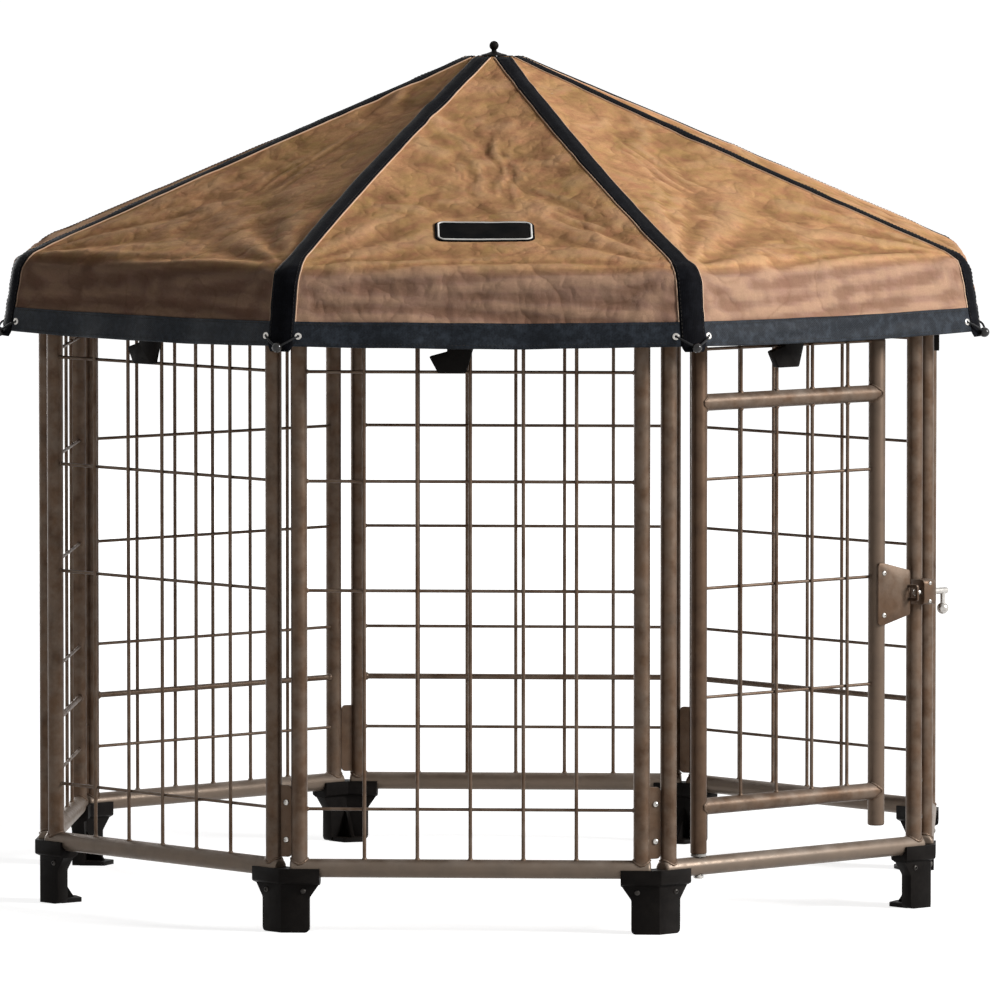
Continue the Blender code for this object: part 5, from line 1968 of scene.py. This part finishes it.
    def hem(self) -> Object:
        """Makes the tape that binds the cover's lower edge.

        Returns:
            The piece.
        """
        gore, across = self.round_columns()
        outer = np.linspace(self.hem_run - self.hem_tall, self.hem_run - 0.0004, 9)
        inner = np.linspace(self.hem_run - 0.0004, self.hem_run - self.hem_tall * 0.8, 6)
        runs = np.concatenate((outer, [self.hem_run + 0.0010, self.hem_run + 0.0010], inner))
        stand = self.thick / 2 + 0.0009
        offsets = np.array([stand] * len(outer) + [stand * 0.6, -stand * 0.6] + [-stand] * len(inner))
        flat = self.surface(gore[None, :], across[None, :], runs[:, None])
        probe = np.linspace(self.hem_run - 0.03, self.hem_run, 4)
        wall = self.surface(gore[None, :], across[None, :], probe[:, None])
        normal = self.normals(wall, ring=True)[2]
        placed = flat + normal[None] * offsets[:, None, None]
        along = np.concatenate(([0.0], np.cumsum(np.linalg.norm(np.diff(flat[4], axis=0), axis=1))))
        down = np.concatenate(([0.0], np.cumsum(np.linalg.norm(np.diff(placed[:, 0], axis=0), axis=1))))
        along = np.append(along, along[-1] * 2 - along[-2])
        mesh = self.tape(placed, down, along, 0.0008)
        return piece("hem_tape", mesh, self.kit.looks.hem, Slot.MOULDING)

    def seam_row(
        self, rows: Rows, line: Callable, beside: Callable, start: float, end: float, pitch: float, rise: float
    ) -> None:
        """Adds a row of stitches along a line on the cloth.

        Args:
            rows: Where they are kept.
            line: Gives the line's points at distances along it.
            beside: Gives the points a little to the line's left.
            start: The first distance.
            end: The last distance.
            pitch: From one stitch to the next.
            rise: Of the thread above the cloth's middle.
        """
        at = np.arange(start, end, pitch)
        points, ahead, left = line(at), line(at + 0.0005), beside(at)
        heading = ahead - points
        normal = np.cross(heading, left - points)
        normal /= np.linalg.norm(normal, axis=1, keepdims=True)
        outward = points - np.array((0, 0, 0.5))
        normal *= np.sign((normal * outward).sum(axis=1, keepdims=True))
        for point, up, way in zip(points + normal * rise, normal, heading):
            rows.add(point, up, way)

    def stitches(self) -> tuple[Object, Object]:
        """Makes the rows of stitches beside the hips and round the hem.

        Returns:
            The two pieces.
        """
        hips, hems = Rows(), Rows()
        pitch = 0.0052
        rise = self.thick / 2 + 0.0016
        for hip in range(COUNT):
            for side in (-1, 1):
                def line(at: Array, inset: float = 0.0028, hip: int = hip, side: int = side) -> Array:
                    """Returns points inside an edge of the hip's tape."""
                    return self.beside_hip(hip, side * (self.tape_half(at) - inset), at)

                def beside(at: Array, line: Callable = line) -> Array:
                    """Returns points a little further inside."""
                    return line(at, 0.0038)

                self.seam_row(hips, line, beside, self.top_run, self.hem_run - 0.002, pitch, rise)
        for gore in range(COUNT):
            width = 2 * float(self.half_width(np.array(self.hem_run)))
            for inset in (0.0030, self.hem_tall - 0.0030):
                def line(at: Array, inset: float = inset, gore: int = gore) -> Array:
                    """Returns points along the hem."""
                    return self.surface(gore, at / width * 2 - 1, self.hem_run - inset)

                def beside(at: Array, line: Callable = line, inset: float = inset) -> Array:
                    """Returns points a little further up."""
                    return line(at, inset + 0.001)

                edge = self.corner_tape + 0.002
                self.seam_row(hems, line, beside, edge, width - edge, pitch, self.thick / 2 + 0.0012)
        part = stitch_part(0.0038, 0.00042)
        black = hips.mesh(self.kit.scatter, part.copy(), self.kit.looks.thread, 0.08, 3)
        one = piece("hip_stitches", black, None, Slot.MOULDING)
        dark = hems.mesh(self.kit.scatter, part, self.kit.looks.thread, 0.08, 4)
        two = piece("hem_stitches", dark, None, Slot.MOULDING)
        return one, two

    def patch(self) -> list[Object]:
        """Makes the blank patch on the gore beside the door, with its pale piping.

        Returns:
            The two pieces.
        """
        gore = SIDES.index(self.patch_side)
        centre_x, centre_run = self.patch_place()
        (half_wide, half_tall), radius = self.patch_half, self.patch_round

        def outline(inset: float, steps: int = 7) -> Array:
            """Draws an oblong with round corners.

            Args:
                inset: How far inside the patch's edge.
                steps: Round each corner.

            Returns:
                Its points, flat.
            """
            points = []
            r = max(radius - inset, 0.0004)
            wide, tall = half_wide - inset - r, half_tall - inset - r
            corners = ((wide, tall), (-wide, tall), (-wide, -tall), (wide, -tall))
            for k, (x, y) in enumerate(corners):
                for step in range(steps + 1):
                    angle = pi / 2 * (k + step / steps)
                    points.append((x + r * cos(angle), y + r * sin(angle)))
                after = corners[(k + 1) % 4]
                begin = points[-1]
                close = pi / 2 * (k + 1)
                finish = (after[0] + r * cos(close), after[1] + r * sin(close))
                count = 15 if k % 2 == 0 else 5
                for step in range(1, count):
                    share = step / count
                    points.append(tuple(a + (b - a) * share for a, b in zip(begin, finish)))
            return np.array(points)

        def lift(points: Array, rise: float) -> Array:
            """Lays flat points on the cloth.

            Args:
                points: The flat points.
                rise: Their height above the cloth's middle.

            Returns:
                The points in space.
            """
            x, run = points[:, 0] + centre_x, centre_run - points[:, 1]
            half = self.half_width(run)
            base = self.surface(gore, x / half, run)
            across = self.surface(gore, (x + 0.001) / half, run) - base
            down = self.surface(gore, x / half, run + 0.001) - base
            normal = np.cross(down, across)
            normal /= np.linalg.norm(normal, axis=1, keepdims=True)
            return base + normal * rise

        def ringed(levels: Sequence[tuple[float, float]], close: bool) -> Mesh:
            """Draws a shape of rings round the patch.

            Args:
                levels: Each ring's inset and rise.
                close: Whether the last ring is filled.

            Returns:
                The mesh.
            """
            rings = [lift(outline(inset), rise) for inset, rise in levels]
            count = len(rings[0])
            verts = np.concatenate(rings)
            faces = []
            for first in range(0, (len(rings) - 1) * count, count):
                for step in range(count):
                    here, after = first + step, first + (step + 1) % count
                    faces.append((here, after, after + count, here + count))
            if close:
                faces.append(tuple((len(rings) - 1) * count + step for step in range(count)))
            mesh = bpy.data.meshes.new("patch")
            mesh.from_pydata(verts, [], faces)
            bm = bmesh.new()
            bm.from_mesh(mesh)
            if close:
                bmesh.ops.holes_fill(bm, edges=[e for e in bm.edges if e.is_boundary], sides=0)
                bmesh.ops.triangulate(bm, faces=[f for f in bm.faces if len(f.verts) > 4])
            bmesh.ops.recalc_face_normals(bm, faces=bm.faces)
            bm.to_mesh(mesh)
            bm.free()
            mesh.shade_smooth()
            return mesh

        base = self.thick / 2
        insets = [0.0006, 0.0035, 0.0080, 0.0130, 0.0180, 0.0230, 0.0285, half_tall - 0.0006]
        levels = [(0, base), (0, base + 0.0012), *((inset, base + 0.0017) for inset in insets)]
        body = ringed(levels, close=True)
        crests = ((0.0030, 0.0014), (0.0033, 0.0025), (0.0045, 0.0028), (0.0057, 0.0025), (0.0060, 0.0014))
        rim = ringed([(inset, base + rise) for inset, rise in (*crests, crests[0])], close=False)
        return [
            piece("blank_patch", body, self.kit.looks.patch, Slot.MOULDING),
            piece("patch_piping", rim, self.kit.looks.piping, Slot.CANVAS),
        ]

    def ties(self) -> list[Object]:
        """Makes the eyelets, elastic loops and balls that tie the corners down.

        Returns:
            The three pieces.
        """
        net, rows, balls = TubeNet(), Rows(), Rows()
        eyelet_side, eyelet_run = self.corner_tape + 0.0062, self.hem_run - 0.0115
        ball_size = 0.0068
        for hip in range(COUNT):
            marks = []
            for side in (-1, 1):
                sides = side * (eyelet_side + np.array([0, 0, 0.002]))
                spots = self.beside_hip(hip, sides, eyelet_run + np.array([0, 0.002, 0]))
                normal = np.cross(spots[1] - spots[0], (spots[2] - spots[0]) * side)
                normal /= np.linalg.norm(normal)
                spot = Vector(spots[0]) + Vector(normal) * (self.thick / 2 + 0.0013)
                rows.add(spot, normal, (0, 0, 1))
                marks.append((spot, Vector(normal)))
            facing = -pi / 2 + (hip + 0.5) * TURN + self.twist
            out = Vector((cos(facing), sin(facing), 0))
            corner = Vector(self.beside_hip(hip, 0.0, self.hem_run - 0.001))
            knot = corner + out * 0.0100 + Vector((0, 0, -0.004))
            for spot, normal in marks:
                start = spot - normal * 0.004
                crest = spot + normal * 0.0042
                near = crest.lerp(knot, 0.5) + out * 0.0035 - Vector((0, 0, 0.001))
                control = [start, crest, near, knot]
                points = []
                for k in range(15):
                    s = k / 14
                    weights = ((1 - s)**3, 3 * s * (1 - s)**2, 3 * s * s * (1 - s), s**3)
                    points.append(sum((c * w for c, w in zip(control, weights)), Vector()))
                net.line(points, [0.0015] * len(points), Run.WIRE)
            balls.add(knot, out, (0, 0, 1))
        ring = [(0.0032 + 0.0016 * cos(a), 0.0011 * sin(a)) for a in np.linspace(0, -tau, 11)]
        eyelets = rows.mesh(self.kit.scatter, turned(ring, 20), self.kit.looks.zinc)
        cords = net.mesh(self.kit.tubes, self.kit.looks.elastic, fine=8)
        angles = [radians(90 - 15 * k) for k in range(13)]
        profile = [(max(ball_size * cos(a), 0), ball_size * sin(a) * 1.05) for a in angles]
        bobbles = balls.mesh(self.kit.scatter, turned(profile, 20), self.kit.looks.ball, 0.04, 5)
        return [
            piece("corner_eyelets", eyelets, None, Slot.ZINC),
            piece("elastic_loops", cords, None, Slot.MOULDING),
            piece("tie_balls", bobbles, None, Slot.MOULDING),
        ]

    def build(self) -> None:
        """Makes the whole cover: its sheet and its trims."""
        sheet = self.sheet()
        trims = [self.hip_tapes(), self.piping(), self.hem(), *self.stitches(), *self.patch(), *self.ties()]


# Studio


@dataclass
class Studio:
    """The floor, the lamps, the white surroundings and the camera."""

    azimuth: float = radians(-42.0)
    elevation: float = radians(3.95)
    distance: float = 14.03
    lamp_distance: float = 9.0
    lens: float = 364.2
    aim: tuple = (0.0, 0.0, 0.55)
    frame_shift: tuple = (0.006, -0.010)
    floor_size: float = 60.0
    near_glow: float = 0.80

    def camera(self) -> None:
        """Sets up the camera at the photograph's angle."""
        data = bpy.data.cameras.new("camera")
        data.lens = self.lens
        data.sensor_width = 36.0
        data.shift_x, data.shift_y = self.frame_shift
        data.clip_end = 200.0
        camera = shown("camera", data)
        self.face(camera, self.azimuth, self.elevation, self.distance)
        bpy.context.scene.camera = camera

    def face(self, obj: Object, azimuth: float, elevation: float, distance: float) -> None:
        """Stands a camera or lamp off the gazebo, turned towards it.

        Args:
            obj: The camera or lamp.
            azimuth: Radians round the gazebo, 0 in front of the door.
            elevation: Radians above the horizon.
            distance: From the gazebo.
        """
        flat = cos(elevation)
        back = Vector((sin(azimuth) * flat, -cos(azimuth) * flat, sin(elevation)))
        obj.location = Vector(self.aim) + back * distance
        obj.rotation_euler = (-back).to_track_quat("-Z", "Y").to_euler()

    def seen(self, graph: Graph) -> NodeSocket:
        """Tells what is seen from what is only lit.

        Args:
            graph: The tree of the world or the floor.

        Returns:
            1 for what the camera, a gloss or a glass sees, and 0 for other light.
        """
        path = graph.add("ShaderNodeLightPath")
        first = graph.maths("MAXIMUM", path.outputs["Is Camera Ray"], path.outputs["Is Glossy Ray"])
        return graph.maths("MAXIMUM", first, path.outputs["Is Transmission Ray"])

    def surroundings(self) -> None:
        """Sets up the white world and its even light."""
        world = bpy.data.worlds.new("surroundings")
        world.use_nodes = True
        world.node_tree.nodes.clear()
        graph = Graph(world.node_tree)
        fill = graph.add("ShaderNodeBackground", {"Color": (0.97, 0.98, 1.0, 1), "Strength": 0.105})
        white = graph.add("ShaderNodeBackground", {"Color": (1, 1, 1, 1), "Strength": 1.0})
        mix = graph.add("ShaderNodeMixShader", {0: self.seen(graph), 1: fill.outputs[0], 2: white.outputs[0]})
        graph.add("ShaderNodeOutputWorld", {0: mix.outputs[0]})
        bpy.context.scene.world = world

    def floor(self) -> None:
        """Lays the pale floor, which stays white and keeps a soft shadow."""
        bm = bmesh.new()
        bmesh.ops.create_circle(bm, cap_ends=True, segments=96, radius=self.floor_size)
        mesh = made(bm, "floor")
        material = bpy.data.materials.new("pale_floor")
        material.use_nodes = True
        material.node_tree.nodes.clear()
        graph = Graph(material.node_tree)
        dull = graph.add("ShaderNodeBsdfDiffuse", {"Color": (0.42, 0.42, 0.42, 1)})
        pale = graph.add("ShaderNodeBsdfDiffuse", {"Color": (0.5, 0.5, 0.5, 1)})
        place = graph.add("ShaderNodeTexCoord").outputs["Object"]
        reach = graph.add("ShaderNodeVectorMath", {0: place}, operation="LENGTH").outputs["Value"]
        strength = graph.span(reach, 1.2, 7.0, self.near_glow, 1.0)
        glow = graph.add("ShaderNodeEmission", {"Color": (1, 1, 1, 1), "Strength": strength})
        white = graph.add("ShaderNodeAddShader", {0: pale.outputs[0], 1: glow.outputs[0]})
        mix = graph.add("ShaderNodeMixShader", {0: self.seen(graph), 1: dull.outputs[0], 2: white.outputs[0]})
        graph.add("ShaderNodeOutputMaterial", {0: mix.outputs[0]})
        mesh.materials.append(material)
        shown("floor", mesh)

    def lamp(self, name: str, azimuth: float, elevation: float, size: float, power: float) -> None:
        """Hangs a soft lamp that faces the gazebo.

        Args:
            name: The lamp's name.
            azimuth: Degrees round the gazebo, 0 in front of the door.
            elevation: Degrees above the horizon.
            size: Of the lamp's face.
            power: In watts.
        """
        data = bpy.data.lights.new(name, "AREA")
        data.shape = "DISK"
        data.size = size
        data.energy = power
        self.face(shown(name, data), radians(azimuth), radians(elevation), self.lamp_distance)

    def build(self) -> None:
        """Sets the whole studio up."""
        bpy.context.scene.view_settings.view_transform = "Standard"
        self.camera()
        self.surroundings()
        self.floor()
        self.lamp("key_lamp", azimuth=28, elevation=25, size=3.0, power=1060)
        self.lamp("back_lamp", azimuth=168, elevation=12, size=4.0, power=460)


def main() -> None:
    """Builds the gazebo's pieces in order."""
    logging.basicConfig(level=logging.INFO, format="%(name)s: %(message)s")
    Studio().build()
    kit = Kit(Finishes(), tube_tree(), scatter_tree())
    panels = Panels(kit)
    panels.build()
    Door(kit, panels).build()
    Corners(kit, panels).build()
    Roof(kit).build()
    Canopy(kit).build()


if __name__ == "__main__":
    main()
